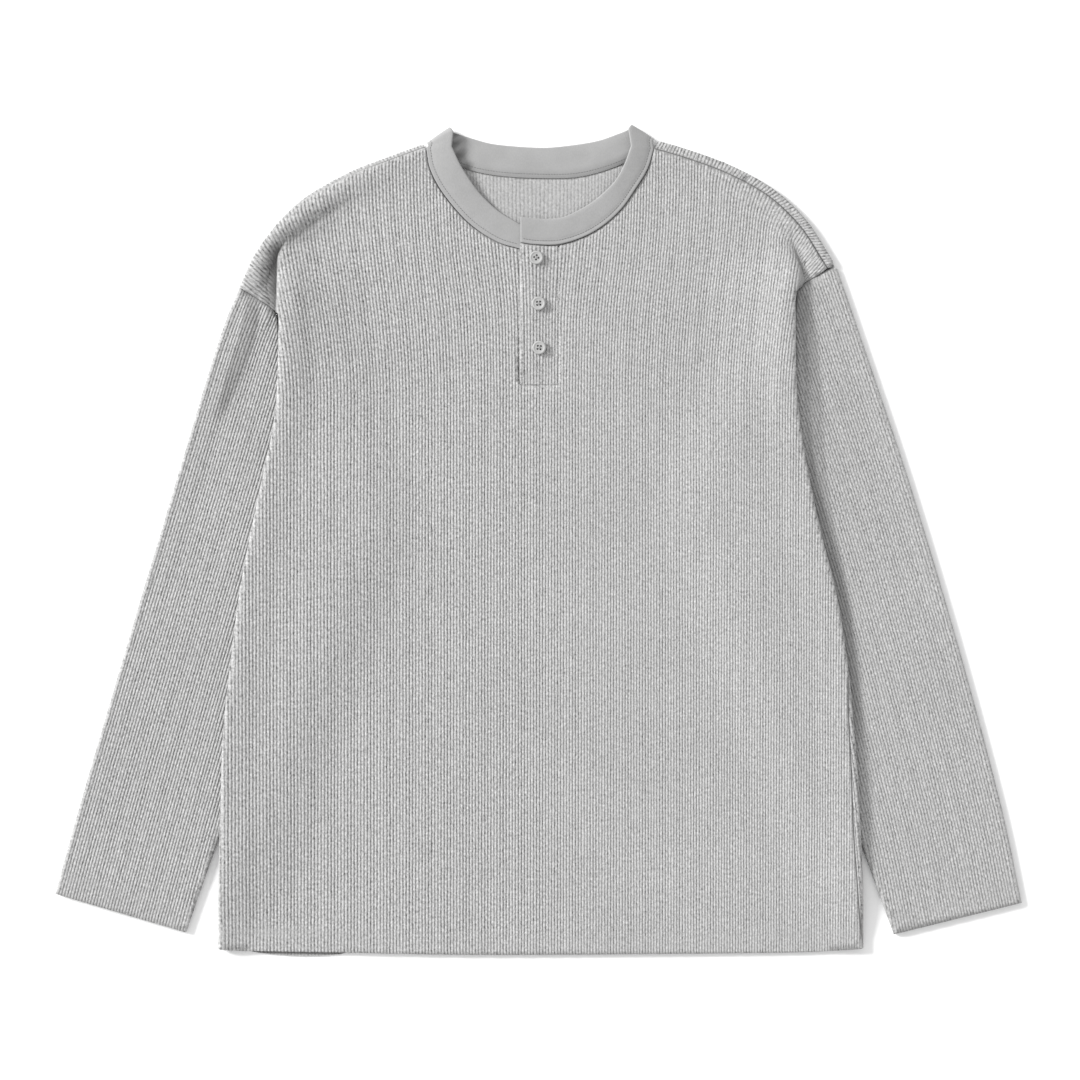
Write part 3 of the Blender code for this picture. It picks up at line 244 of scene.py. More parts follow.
def curve(rows, step=EDGE_STEP):
    """Points every step or so along a smooth curve through the rows."""
    rows = np.array(rows, float)
    ends = np.vstack([2 * rows[0] - rows[1], rows, 2 * rows[-1] - rows[-2]])
    dense = []
    for i in range(len(rows) - 1):
        a, b, c, d = ends[i : i + 4]
        for t in np.arange(0.0, 1.0, CURVE_GRAIN):
            bend = (2 * a - 5 * b + 4 * c - d) * t**2 + (3 * b - a - 3 * c + d) * t**3
            dense.append(b + 0.5 * ((c - a) * t + bend))
    dense.append(rows[-1])
    dense = np.array(dense)
    along = np.concatenate([[0.0], np.cumsum(np.hypot(*np.diff(dense, axis=0).T[:2]))])
    count = max(2, int(round(along[-1] / step)) + 1)
    places = np.linspace(0.0, along[-1], count)
    return np.column_stack([np.interp(places, along, dense[:, k]) for k in range(dense.shape[1])])


def read(rows, at):
    """The second column of a table, read smoothly at values of the first."""
    path = curve(rows, 4.0)
    if path[0, 0] > path[-1, 0]:
        path = path[::-1]
    return np.interp(at, path[:, 0], path[:, 1])


def side(sign, step=EDGE_STEP):
    """A side edge of the body, from the armhole to the hem."""
    column = 1 if sign < 0 else 2
    return curve([(row[column], row[0]) for row in SIDES], step)


def nearest(path, x, y):
    """Distance to the left of a path, the left normal at its nearest point, and the run to it."""
    best = np.full(x.shape, np.inf)
    out = np.zeros((4, *x.shape))
    last = len(path) - 2
    done = 0.0
    for i, (a, b) in enumerate(zip(path, path[1:])):
        run = b - a
        length = math.hypot(*run)
        t = ((x - a[0]) * run[0] + (y - a[1]) * run[1]) / length**2
        t = np.clip(t, -np.inf if i == 0 else 0.0, np.inf if i == last else 1.0)
        gap = np.hypot(x - a[0] - t * run[0], y - a[1] - t * run[1])
        turn = run[0] * (y - a[1]) - run[1] * (x - a[0])
        closer = gap < best - 1e-9
        best = np.where(closer, gap, best)
        values = (np.where(turn < 0, -gap, gap), -run[1] / length, run[0] / length, done + t * length)
        out = [np.where(closer, new, old) for new, old in zip(values, out)]
        done += length
    return out


def inside(loop, x, y):
    """Which points lie inside a closed loop."""
    hit = np.zeros(x.shape, bool)
    for (ax, ay), (bx, by) in zip(loop, np.roll(loop, -1, axis=0)):
        if ay == by:
            continue
        crosses = (y < ay) != (y < by)
        hit ^= crosses & (x < ax + (y - ay) * (bx - ax) / (by - ay))
    return hit


def path_distance(path, x, y):
    """Distance to the nearest stretch of a path."""
    best = np.full(x.shape, np.inf)
    for a, b in zip(path[:-1], path[1:]):
        run = b - a
        t = np.clip(((x - a[0]) * run[0] + (y - a[1]) * run[1]) / max(run @ run, 1e-9), 0.0, 1.0)
        best = np.minimum(best, np.hypot(x - a[0] - t * run[0], y - a[1] - t * run[1]))
    return best


def moved(path, amount):
    """A path moved to its left."""
    run = np.gradient(path, axis=0)
    length = np.hypot(run[:, 0], run[:, 1])[:, None]
    return path + np.column_stack([-run[:, 1], run[:, 0]]) / length * np.reshape(amount, (-1, 1))


CAP_FOOT = 192.0
CAP_TOP = 358.0
CAP_STEP = 2.0
CAP_PIVOT = 222.0
CAP_NEAR = 100.0
CAP_FADE = 4.0
CAP_CLASH = 2.6
CAP_CLASH_TOP = 264.0
LEFT_CAP_LEAN = [  # y, how far the ribs over the cap lean in degrees
    (190.0, 36.0), (215.0, 34.0), (240.0, 27.0), (262.0, 15.0), (276.0, 7.0), (296.0, 3.0),
    (318.0, 0.0), (340.0, 0.0),
]
RIGHT_CAP_LEAN = [  # y, how far the ribs over the cap lean in degrees
    (190.0, 50.0), (225.0, 45.0), (245.0, 38.0), (262.0, 28.0), (280.0, 18.0), (300.0, 10.0),
    (325.0, 3.0), (340.0, 0.0),
]
LEFT_CAP_LINE = [  # x, y of the line past which the ribs lean
    (-140.0, 306.0), (-172.0, 290.0), (-199.0, 273.0), (-212.5, 266.0), (-223.0, 257.0),
    (-228.0, 247.0), (-228.5, 190.0),
]
RIGHT_CAP_LINE = [  # x, y of the line past which the ribs lean
    (170.0, 320.0), (196.0, 292.0), (213.0, 270.0), (222.0, 256.0), (228.0, 243.0), (229.0, 228.0),
    (227.0, 200.0),
]
LEFT_CAP_START = [  # distance from the middle, height at which leaning and upright ribs are in step
    (140.0, 301.0), (172.0, 289.0), (199.0, 278.0), (228.0, 267.0), (262.0, 255.0),
]
RIGHT_CAP_START = [  # distance from the middle, height at which leaning and upright ribs are in step
    (190.0, 276.0), (230.0, 260.0),
]
CAPS = (  # side, line past which the ribs lean, their lean, where they are in step, width of the change
    (-1.0, LEFT_CAP_LINE, LEFT_CAP_LEAN, LEFT_CAP_START, 16.0),
    (1.0, RIGHT_CAP_LINE, RIGHT_CAP_LEAN, RIGHT_CAP_START, 38.0),
)
SLEEVE_LIFT_FOOT = -282.0
SLEEVE_LIFT_SIDES = (222.0, 300.0)
RIBS_APART = 0.00026
RIBS_CLOSE_UP = 0.10
RIBS_OPEN_AT_NECK = 0.16


def cap_turn(x, y):
    """Ribs over the caps: their shift from upright ones, how far they lean, and where both sorts meet."""
    shift, share, clash = np.zeros((3, *x.shape))
    rows = np.arange(CAP_FOOT - CAP_STEP, CAP_TOP, CAP_STEP)
    for sign, line, table, in_step, spread in CAPS:
        lean = np.radians(read(table, rows))
        drift = np.cumsum(np.sin(lean)) * CAP_STEP
        turn = np.interp(y, rows, lean)
        cap = np.where(sign * x > CAP_NEAR, smooth_step((y - CAP_FOOT) / CAP_FADE), 0.0)
        gap = sign * nearest(curve(line, 9.0), x, y)[0]
        width = 4.0 + spread * smooth_step((y - 246.0) / 20.0)
        part = smooth_step(gap / width + 0.5) * cap
        fall = np.interp(read(in_step, sign * x), rows, drift) - np.interp(y, rows, drift)
        shift = shift + part * ((x - sign * CAP_PIVOT) * (np.cos(turn) - 1.0) + sign * fall)
        share = np.maximum(share, part * smooth_step(turn * 4.0))
        meet = np.exp(-((gap / CAP_CLASH) ** 2)) * smooth_step((CAP_CLASH_TOP - y) / 12.0)
        clash = np.maximum(clash, meet * cap)
    return shift, share, clash


def upright_wale(x, y):
    """Which rib runs through a point away from the caps, where ribs lie upright and open to the neck."""
    w = x * (1.0 + RIBS_APART * x)
    w = w - RIBS_CLOSE_UP * x * smooth_step((y - 120.0) / 200.0)
    return w - RIBS_OPEN_AT_NECK * x * np.exp(-((x / 70.0) ** 2)) * smooth_step((y - 185.0) / 90.0)


def over_sleeve(x, y, top):
    """How far the sleeves below lift the body, from 0 to 1, up to the height where the lift ends."""
    lift = np.zeros(x.shape)
    near, far = SLEEVE_LIFT_SIDES
    for sign, rows in ((-1.0, LEFT_SLEEVE_INNER), (1.0, RIGHT_SLEEVE_INNER)):
        inner = [row for row in rows if row[1] > SLEEVE_LIFT_FOOT]
        end = [(sign * row[0], row[1]) for row in HIDDEN_END[1:] if row[1] < top]
        corners = [(sign * near, top), (sign * far, top), (sign * far, SLEEVE_LIFT_FOOT + 20.0)]
        loop = np.array(inner + end + corners)
        gap = np.where(inside(loop, x, y), 0.0, path_distance(np.vstack([loop, loop[:1]]), x, y))
        lift = np.maximum(lift, smooth_step(1.35 - gap / OVER_SLEEVE_RAMP))
    return lift


def triangulate(loop, fill, runs):
    """Triangles over a plan: the loop's points come first, then the fill's."""
    points = [Vector(p) for p in loop] + [Vector(p) for p in fill]
    shift = len(loop)
    edges = [(a + shift, b + shift) for a, b in runs]
    out = delaunay_2d_cdt(points, edges, [list(range(shift))], 1, 1e-5)
    spot = [-1] * len(out[0])
    for new, old in enumerate(out[3]):
        spot[new] = min(old) if old else -1
    return [tuple(spot[i] for i in face) for face in out[2] if min(spot[i] for i in face) >= 0]


def normals(surface, x, y):
    """The unit normals of a surface, on its upper side where the plan isn't turned over."""
    h = 0.05
    along_x = surface(x + h, y) - surface(x - h, y)
    along_y = surface(x, y + h) - surface(x, y - h)
    normal = np.cross(along_x, along_y)
    return normal / np.linalg.norm(normal, axis=1)[:, None]


class Wall:
    """Points and faces of one closed wall of knit, with what its ribs and its yarn follow."""

    def __init__(self):
        self.points = []
        self.ribs = []
        self.faces = []

    def add(self, places, out, *columns):
        """Points and the way that ribs rise there, with the columns named in mesh()."""
        start = len(self.points)
        self.points.extend(places)
        self.ribs.extend(np.column_stack([out, *columns]))
        return list(range(start, len(self.points)))

    def sheet(self, indices, triangles, flip=False):
        for a, b, c in triangles:
            face = (indices[a], indices[b], indices[c])
            self.faces.append(face[::-1] if flip else face)

    def rim(self, outer, inner, closed=True):
        count = len(outer) if closed else len(outer) - 1
        for i in range(count):
            j = (i + 1) % len(outer)
            self.faces.append((outer[j], outer[i], inner[i]))
            self.faces.append((outer[j], inner[i], inner[j]))

    def mesh(self, name):
        mesh = bpy.data.meshes.new(name)
        points = np.array(self.points) * MM
        faces = np.array(self.faces, np.int32)
        mesh.vertices.add(len(points))
        mesh.vertices.foreach_set("co", points.ravel())
        mesh.loops.add(faces.size)
        mesh.loops.foreach_set("vertex_index", faces.ravel())
        mesh.polygons.add(len(faces))
        mesh.polygons.foreach_set("loop_start", np.arange(0, faces.size, 3, dtype=np.int32))
        mesh.update(calc_edges=True)
        mesh.validate()
        table = np.array(self.ribs)
        out = mesh.attributes.new("out", "FLOAT_VECTOR", "POINT")
        out.data.foreach_set("vector", np.ascontiguousarray(table[:, :3]).ravel())
        for column, word in ((3, "wale"), (4, "along"), (5, "keep"), (6, "depth"), (7, "painted_shade")):
            layer = mesh.attributes.new(word, "FLOAT", "POINT")
            layer.data.foreach_set("value", np.ascontiguousarray(table[:, column]))
        flat = mesh.uv_layers.new(name="knit")
        corners = np.zeros(len(mesh.loops), np.int32)
        mesh.loops.foreach_get("vertex_index", corners)
        flat.data.foreach_set("uv", np.ascontiguousarray(table[corners][:, [3, 4]]).ravel())
        mesh.shade_smooth()
        return mesh


def join(*stretches):
    """One loop from stretches of points, each with whether it is folded, that run on from each other."""
    loop = []
    folded = []
    for points, is_fold in stretches:
        for point in points:
            if not loop or math.hypot(point[0] - loop[-1][0], point[1] - loop[-1][1]) > JOIN_GAP:
                loop.append(point)
                folded.append(is_fold)
            elif is_fold:
                folded[-1] = True
    if math.hypot(loop[0][0] - loop[-1][0], loop[0][1] - loop[-1][1]) < JOIN_GAP:
        loop.pop()
        folded[0] = folded[0] or folded.pop()
    return np.array(loop), np.array(folded)


def point_tree(points):
    tree = KDTree(len(points))
    for i, point in enumerate(points):
        tree.insert((point[0], point[1], 0.0), i)
    tree.balance()
    return tree


def edge_tree(loop, chosen=None):
    """What finds the distance from a point to a loop, or to the chosen stretches of it."""
    spots = []
    chosen = np.ones(len(loop), bool) if chosen is None else chosen
    for i in range(len(loop)):
        j = (i + 1) % len(loop)
        if chosen[i] and chosen[j]:
            count = max(1, int(math.hypot(*(loop[j] - loop[i])) / EDGE_GRAIN))
            spots.extend(loop[i] + (loop[j] - loop[i]) * t for t in np.arange(count) / count)
    return point_tree(spots)


def edge_gap(tree, x, y):
    return np.array([tree.find((px, py, 0.0))[2] for px, py in zip(x, y)])


def rib_points(lines, loop, margin, tree):
    """Fill points along the rib lines inside a loop, and the runs that join them."""
    owner = np.concatenate([np.full(len(line), k) for k, line in enumerate(lines)])
    x, y = np.concatenate(lines).T
    use = inside(loop, x, y)
    gap = np.zeros(x.shape)
    gap[use] = edge_gap(tree, x[use], y[use])
    kept = np.flatnonzero(use & (gap > margin))
    runs = []
    for k, (i, j) in enumerate(zip(kept, kept[1:])):
        if owner[i] == owner[j] and j == i + 1:
            step = math.hypot(x[j] - x[i], y[j] - y[i])
            if gap[i] + gap[j] > step * 1.05 + margin:
                runs.append((k, k + 1))
    return np.column_stack([x[kept], y[kept]]), runs


def body_lines(wales, heights):
    """Rib lines of the body, each with a point at every height."""
    grid_x = np.linspace(-300.0, 300.0, 2401)
    places = []
    for y in heights:
        x = np.interp(wales, upright_wale(grid_x, np.full(grid_x.shape, y)), grid_x)
        places.append(np.column_stack([x, np.full(x.shape, y)]))
    places = np.array(places)
    return [places[:, k] for k in range(len(wales))]


def behind_edge(loop, chosen, depths):
    """Points inside a loop, behind the chosen points of its edge, at each depth."""
    after = np.roll(loop, -1, axis=0)
    area = 0.5 * np.sum(loop[:, 0] * after[:, 1] - after[:, 0] * loop[:, 1])
    run = after - np.roll(loop, 1, axis=0)
    normal = np.column_stack([-run[:, 1], run[:, 0]]) * np.sign(area)
    normal /= np.linalg.norm(normal, axis=1)[:, None]
    return np.vstack([loop[chosen] + normal[chosen] * depth for depth in depths])


ROLL = math.pi / 2
INNER_RADIUS = FOLD_RADIUS - WALL
EDGE_REACH = FOLD_RADIUS + RIB_HEIGHT
HALF_ROLL = INNER_RADIUS * ROLL
FOLD_BAND = 14.0
FOLD_NEAR = 95.0
FOLD_FADE = 9.0
BODY_FOLDS = (  # name, side of the body, height where it fades out
    ("left_side", -1.0, 203.0),
    ("right_side", 1.0, 222.0),
    ("left_shoulder", -1.0, 205.0),
    ("right_shoulder", 1.0, 226.0),
)


def fold_outline(name, step):
    """The body's outline along a fold, with the cloth on its left."""
    if name == "left_side":
        return side(-1.0, step)
    if name == "right_side":
        return side(1.0, step)[::-1]
    if name == "left_shoulder":
        return curve(LEFT_SHOULDER, step)
    return curve(RIGHT_SHOULDER, step)[::-1]


def fold_shift(name, points):
    """How far past the middle of a fold its seam lies, at points along it."""
    x, y = points[:, 0], points[:, 1]
    if name == "right_side":
        return read(RIGHT_SIDE_SHIFT, y)
    if name == "left_shoulder":
        return LEFT_SHOULDER_SHIFT * (1.0 - smooth_step((-x - 188.0) / 40.0))
    return np.full(x.shape, RIGHT_SHOULDER_SHIFT if name == "right_shoulder" else 0.0)


def fold_edge(name, step, back):
    """The cut edge of the front or the back along a fold, in plan before it is folded."""
    axis = moved(fold_outline(name, step), EDGE_REACH)
    shift = fold_shift(name, axis)
    reach = HALF_ROLL + (shift if back else -shift) - SEAM_GAP / 3
    return moved(axis, -reach)


FOLD_OUTLINES = {name: fold_outline(name, 8.0) for name, _, _ in BODY_FOLDS}
FOLD_AXES = {name: moved(outline, EDGE_REACH) for name, outline in FOLD_OUTLINES.items()}


def folded_surface(level, x, y, upward):
    """A panel over its plan, with what lies past its folds wrapped round them."""
    place_x = x.copy()
    place_y = y.copy()
    rise = np.zeros(x.shape)
    for name, sign, start in BODY_FOLDS:
        upright = "side" in name
        outline = FOLD_OUTLINES[name]
        outline = outline[np.argsort(outline[:, 1 if upright else 0])]
        if upright:
            fade = smooth_step(((BACK_SIDE_TOP + 12.0 if upward else start) - y) / FOLD_FADE)
            near = sign * x > sign * np.interp(y, outline[:, 1], outline[:, 0]) - FOLD_BAND
        else:
            fade = smooth_step((y - start) / FOLD_FADE)
            near = y > np.interp(x, outline[:, 0], outline[:, 1]) - FOLD_BAND * 2.4
        near &= (fade > 0) & (sign * x > FOLD_NEAR)
        if not near.any():
            continue
        gap, nx, ny, _ = nearest(FOLD_AXES[name], x[near], y[near])
        past = np.clip(-gap, 0.0, None) * fade[near]
        angle = np.clip(past / INNER_RADIUS, 0.0, math.pi if upward else ROLL)
        beyond = np.clip(past - INNER_RADIUS * math.pi, 0.0, None) if upward else 0.0
        bend = past > 0
        reach = past - INNER_RADIUS * np.sin(angle) + beyond
        place_x[near] = np.where(bend, x[near] + nx * reach, place_x[near])
        place_y[near] = np.where(bend, y[near] + ny * reach, place_y[near])
        rise[near] = np.where(bend, INNER_RADIUS * (1.0 - np.cos(angle)), rise[near])
    z = level(place_x, place_y)
    return np.column_stack([place_x, place_y, z + rise if upward else z - rise])


def back_inner(x, y):
    """Level of the back's inner face, before its edges are folded up over the front."""
    lift = over_sleeve(x, y, BACK_LIFT[0]) * smooth_step((BACK_LIFT[1] - y) / 12.0)
    return BACK_LEVEL + SLEEVE_STACK * lift


def back_surface(x, y):
    return folded_surface(back_inner, x, y, upward=True)


def side_edges(step, back, tops, feet):
    """The two side edges of a panel, cut off at their tops, with their last points at their feet."""
    left, right = (fold_edge(name, step, back) for name in ("left_side", "right_side"))
    left = left[left[:, 1] < tops[0]]
    right = right[right[:, 1] < tops[1]]
    left[-1, 1], right[0, 1] = feet
    return left, right


def back_loop(step=EDGE_STEP):
    """Plan of the back, anticlockwise from its lower left corner, and which points are folded."""
    left, right = side_edges(step, True, (BACK_SIDE_TOP, BACK_SIDE_TOP), BACK_FEET)
    hem = curve(BACK_HEM, step)[1:-1]
    left_arm = moved(curve(LEFT_ARMHOLE[::-1], step), -SEAM_GAP / 2)
    right_arm = moved(curve(RIGHT_ARMHOLE[::-1], step), SEAM_GAP / 2)[:-1]
    left_top = fold_edge("left_shoulder", step, back=True)
    right_top = fold_edge("right_shoulder", step, back=True)
    neck = moved(curve(BACK_NECK_SEAM, step), -SEAM_GAP / 2)[1:-1]
    left_hidden = np.array([(-BACK_SIDE, y) for y in np.arange(ARMHOLE_FEET[0], BACK_SIDE_TOP + step, -step)])
    right_hidden = np.array([(BACK_SIDE, y) for y in np.arange(BACK_SIDE_TOP + step, ARMHOLE_FEET[1], step)])
    return join(
        (hem, False),
        (right, True),
        (right_hidden, False),
        (right_arm, False),
        (right_top, True),
        (np.array(BAND_FEET[1:]), False),
        (neck[::-1], False),
        (np.array(BAND_FEET[:1]), False),
        (left_top, True),
        (left_arm[::-1], False),
        (left_hidden, False),
        (left, True),
    )


def pressed_hem(height):
    """How much of the ribs shows in a turned and pressed hem: less below its seam, least in the seam."""
    pressed = 1.0 - HEM_PRESS * smooth_step((HEM_DEPTH + 1.0 - height) / 2.5)
    return pressed * (1.0 - HEM_SEAM_PRESS * np.exp(-(((height - HEM_DEPTH) / 1.2) ** 2)))


def back_keep(x, y):
    return pressed_hem(y - read(BACK_HEM, x)) * (1.0 - 0.8 * cap_turn(x, y)[2])


SEAM_DIP = 0.5
SEAM_DIP_REACH = 1.3
FOLD_RELIEF = 0.25
CAP_RELIEF = 0.12
INSIDE_KEEP = 0.3
POINT_SPACE = 1.6
EDGE_SPACE = 0.45
SEAM_REACH = 1.1
PANEL_RIBS = (-118.0, 118.01)
STEP_HEIGHTS = (199.0, 272.0, 2.5)
STEP_OFFSETS = (-4.0, 13.0, 1.5)


def painted_seam_shade(x, y):
    """How much painted shade a seam's groove gets: sharp on the right shoulder, softer on its armhole, faint
    on the left.
    """
    right = np.where(y < 241.0, 0.25, 0.6)
    return np.where(x < -100.0, 0.12, np.where(x > 101.0, right, 0.1))


# A panel with no painted shade of its own.
def no_painted_shade(x, y):
    return np.zeros(x.shape)


def step_points(loop, tree):
    """Close points where the body steps down to its shoulders, so that its inner face follows there."""
    heights = np.arange(*STEP_HEIGHTS)
    spots = []
    for sign, fold in ((-1.0, LEFT_BODY_FOLD), (1.0, RIGHT_BODY_FOLD)):
        for offset in np.arange(*STEP_OFFSETS):
            spots.append(np.column_stack([read(fold, heights) + sign * offset, heights]))
    spots = np.vstack(spots)
    x, y = spots[:, 0], spots[:, 1]
    return spots[inside(loop, x, y) & (edge_gap(tree, x, y) > 1.5)]


def knit_panel(name, surface, loop, folded, sewn, outward, faces, kept, shade=no_painted_shade):
    """A panel's closed wall. Faces are rows of: how far off the surface, rib step, heights, depth."""
    wall = Wall()
    behind = behind_edge(loop, folded, [HALF_ROLL * k / 4 for k in range(1, 5 if outward > 0 else 10)])
    tree = edge_tree(loop)
    seams = edge_tree(loop, sewn)
    rims = []
    for offset, rib_step, heights, depth in faces:
        wales = np.arange(*PANEL_RIBS, rib_step) * RIB_PITCH
        ribs, runs = rib_points(body_lines(wales, heights), loop, EDGE_SPACE, tree)
        close = step_points(loop, tree) if outward > 0 and offset == 0 else np.zeros((0, 2))
        clear = np.ones(len(ribs), bool)
        for others in (behind, close):
            if len(others):
                clear &= edge_gap(point_tree(others), ribs[:, 0], ribs[:, 1]) > POINT_SPACE
        spot = np.cumsum(clear) - 1 + len(behind)
        runs = [(spot[a], spot[b]) for a, b in runs if clear[a] and clear[b]]
        fill = np.vstack([behind, ribs[clear], close])
        x, y = np.vstack([loop, fill]).T
        out = normals(surface, x, y) * (1.0 if offset >= 0 else -1.0)
        seam = edge_gap(seams, x, y)
        dip = np.clip(1.0 - seam / SEAM_DIP_REACH, 0.0, 1.0) ** 2 * (SEAM_DIP if depth else 0.0)
        places = surface(x, y) + out * (abs(offset) - dip)[:, None]
        keep = smooth_step(seam / SEAM_REACH) * kept(x, y) * (1.0 if offset else INSIDE_KEEP)
        shift, lean, _ = cap_turn(x, y)
        relief = depth * (1.0 - (1.0 - CAP_RELIEF) * lean)
        relief[: len(loop)][folded] *= FOLD_RELIEF
        relief[len(loop) : len(loop) + len(behind)] *= FOLD_RELIEF
        wale = (upright_wale(x, y) + shift) / RIB_PITCH
        # Painted shade along the seams, plus the panel's own painted shade.
        painted_shade = smooth_step(1.1 - seam / SEAM_REACH) * painted_seam_shade(x, y) + shade(x, y)
        indices = wall.add(places, out, wale, y, keep, relief, painted_shade)
        down = (offset < 0) if outward < 0 else (offset <= 0)
        wall.sheet(indices, triangulate(loop, fill, runs), flip=down)
        rims.append(indices[: len(loop)])
    wall.rim(*rims)
    return wall.mesh(name)


def named_value(tree, name, kind="FLOAT"):
    outputs = add_node(tree, "GeometryNodeInputNamedAttribute", {"Name": name}, data_type=kind)
    return next(socket for socket in outputs if socket.enabled)


def new_group(name, kind, sockets):
    """A node group, its inputs, and what adds sums to it. Sockets are rows of name, way, type, value."""
    group = bpy.data.node_groups.new(name, kind)
    for word, way, form, value in sockets:
        socket = group.interface.new_socket(word, in_out=way, socket_type="NodeSocket" + form)
        if value is not None:
            socket.default_value = value
    return group, group.nodes.new("NodeGroupInput").outputs, lambda *terms: value_node(group, *terms)


def noise_over(tree, across, across_scale, along, along_scale, *detail):
    """Noise from -0.5 to 0.5 over two values, each with its own scale."""
    scaled = ((across, across_scale), (along, along_scale))
    inputs = {k: value_node(tree, "MULTIPLY", *pair) for k, pair in enumerate(scaled)}
    spot = add_node(tree, "ShaderNodeCombineXYZ", inputs)[0]
    return value_node(tree, "SUBTRACT", noise_node(tree, spot, 1.0, *detail), 0.5)


def rib_tree():
    """Raises or sinks the ribs of a wall. Two neighbouring valleys in every repeat are the deepest."""
    sockets = [("Geometry", "INPUT", "Geometry", None)]
    for name, value in (("Ribs in a repeat", 6.0), ("Even share", 0.74), ("Uneven share", 0.25)):
        sockets.append((name, "INPUT", "Float", value))
    sockets += [("Finish", "INPUT", "Material", None), ("Geometry", "OUTPUT", "Geometry", None)]
    tree, given, f = new_group("raise_ribs", "GeometryNodeTree", sockets)
    wale, along = named_value(tree, "wale"), named_value(tree, "along")
    turn = f("MULTIPLY", wale, 2 * math.pi)
    valley = f("MULTIPLY_ADD", f("COSINE", turn), -0.5, 0.5)
    part = f("DIVIDE", f("SUBTRACT", turn, math.pi), given["Ribs in a repeat"])
    deep = f("MULTIPLY_ADD", f("COSINE", part), 0.5, 0.5)
    share = f("MULTIPLY_ADD", deep, f("SUBTRACT", 1.0, given["Even share"]), given["Even share"])
    uneven = f("MULTIPLY", noise_over(tree, wale, 0.9, along, 0.05), given["Uneven share"])
    low = f("MULTIPLY", valley, f("ADD", share, uneven))
    depth = named_value(tree, "depth")
    raised = f("MULTIPLY", f("MAXIMUM", depth, 0.0), f("SUBTRACT", 1.0, low))
    sunk = f("MULTIPLY", f("MINIMUM", depth, 0.0), low)
    height = f("MULTIPLY", f("ADD", raised, sunk), named_value(tree, "keep"))
    inputs = {0: named_value(tree, "out", "FLOAT_VECTOR"), "Scale": f("MULTIPLY", height, MM)}
    push = add_node(tree, "ShaderNodeVectorMath", inputs, operation="SCALE")[0]
    move = add_node(tree, "GeometryNodeSetPosition", {"Geometry": given["Geometry"], "Offset": push})
    finish_tree(tree, move["Geometry"], given["Finish"])
    return tree


def finish_tree(tree, geometry, finish):
    """Ends a tree in Realize Instances and Set Material."""
    real = add_node(tree, "GeometryNodeRealizeInstances", {"Geometry": geometry})["Geometry"]
    painted = add_node(tree, "GeometryNodeSetMaterial", {"Geometry": real, "Material": finish})["Geometry"]
    add_node(tree, "NodeGroupOutput", {"Geometry": painted})


def plain_copy(item):
    """The mesh of an object after its modifiers."""
    bpy.context.view_layer.update()
    return bpy.data.meshes.new_from_object(item.evaluated_get(bpy.context.evaluated_depsgraph_get()))


def grown(name, mesh, tree, **inputs):
    """A plain piece from a mesh and a tree: its inputs are set, and the result is kept without the tree."""
    base = placed(name + "_base", mesh)
    modifier = base.modifiers.new("tree", "NODES")
    modifier.node_group = tree
    for item in tree.interface.items_tree:
        word = item.name.lower().replace(" ", "_")
        if item.item_type == "SOCKET" and item.in_out == "INPUT" and word in inputs:
            modifier[item.identifier] = inputs[word]
    plain = plain_copy(base)
    plain.name = name
    bpy.data.objects.remove(base, do_unlink=True)
    return placed(name, plain)


def knit_pattern():
    """The rib knit's yarn and painted shade: painted shade in frayed valleys, every sixth one crisper, and
    ribs flecked with loops.
    """
    sockets = [("Map", "INPUT", "Vector", None), ("Place", "INPUT", "Vector", None)]
    sockets += [("Keep", "INPUT", "Float", None)]
    sockets += [(name, "OUTPUT", "Float", None) for name in ("Shade", "Height")]
    group, given, f = new_group("rib_knit_yarn", "ShaderNodeTree", sockets)
    across, along, _ = add_node(group, "ShaderNodeSeparateXYZ", {0: given["Map"]})
    left = f("FLOOR", across)
    middle = f("SUBTRACT", f("SUBTRACT", across, left), 0.5)
    drift = noise_over(group, left, 3.7, along, 0.06, 1.0)
    fray = noise_over(group, left, 5.3, along, 0.3, 1.0)
    lean = f("MULTIPLY_ADD", drift, 0.4, f("MULTIPLY", fray, 0.36))
    off = f("ABSOLUTE", f("ADD", middle, lean))
    valley = f("MAXIMUM", f("SUBTRACT", 1.0, f("SMOOTH_MIN", f("MULTIPLY", off, 2.9), 1.0, 0.3)), 0.0)
    turn = f("MULTIPLY", f("SUBTRACT", across, 0.5), 2 * math.pi / 6)
    crisp = f("MULTIPLY_ADD", f("COSINE", turn), 0.5, 0.5)
    valley_shade_strength = f("MULTIPLY_ADD", fray, 1.1, f("MULTIPLY_ADD", crisp, 0.12, 0.33))
    rib = noise_over(group, f("ROUND", across), 6.7, along, 0.42, 1.0)
    bead = f("MULTIPLY", rib, f("SUBTRACT", 1.0, valley))
    fleck = noise_over(group, across, 2.6, along, 0.45, 2.0, 0.6)
    yarn = f("SUBTRACT", noise_node(group, given["Place"], 1200.0, 2.0, 0.7), 0.5)
    # Painted shade in the rib valleys; the beads, flecks and yarn added next are the cloth's own tone.
    shade = f("MULTIPLY_ADD", f("MULTIPLY", valley, valley_shade_strength), -1.0, 0.14)
    for part, share in ((bead, 0.65), (fleck, 1.3), (yarn, 0.6)):
        shade = f("MULTIPLY_ADD", part, share, shade)
    shade = f("MULTIPLY_ADD", shade, f("MULTIPLY_ADD", given["Keep"], 0.7, 0.3), 0.55)
    height = f("MULTIPLY", valley, -1.0)
    for part in (bead, fleck, yarn):
        height = f("MULTIPLY_ADD", part, 0.4, height)
    height = f("MULTIPLY", height, f("MULTIPLY_ADD", given["Keep"], 0.8, 0.2))
    add_node(group, "NodeGroupOutput", {"Shade": shade, "Height": height})
    return group


KNIT_YARN_AND_SHADE = knit_pattern()
# The dark end is reached by the painted valley shade as well as by the darkest yarn.
KNIT_DARK = (0.08, 0.0795, 0.079)
KNIT_LIGHT = (0.6, 0.598, 0.596)
KNIT_BUMP = 0.0005
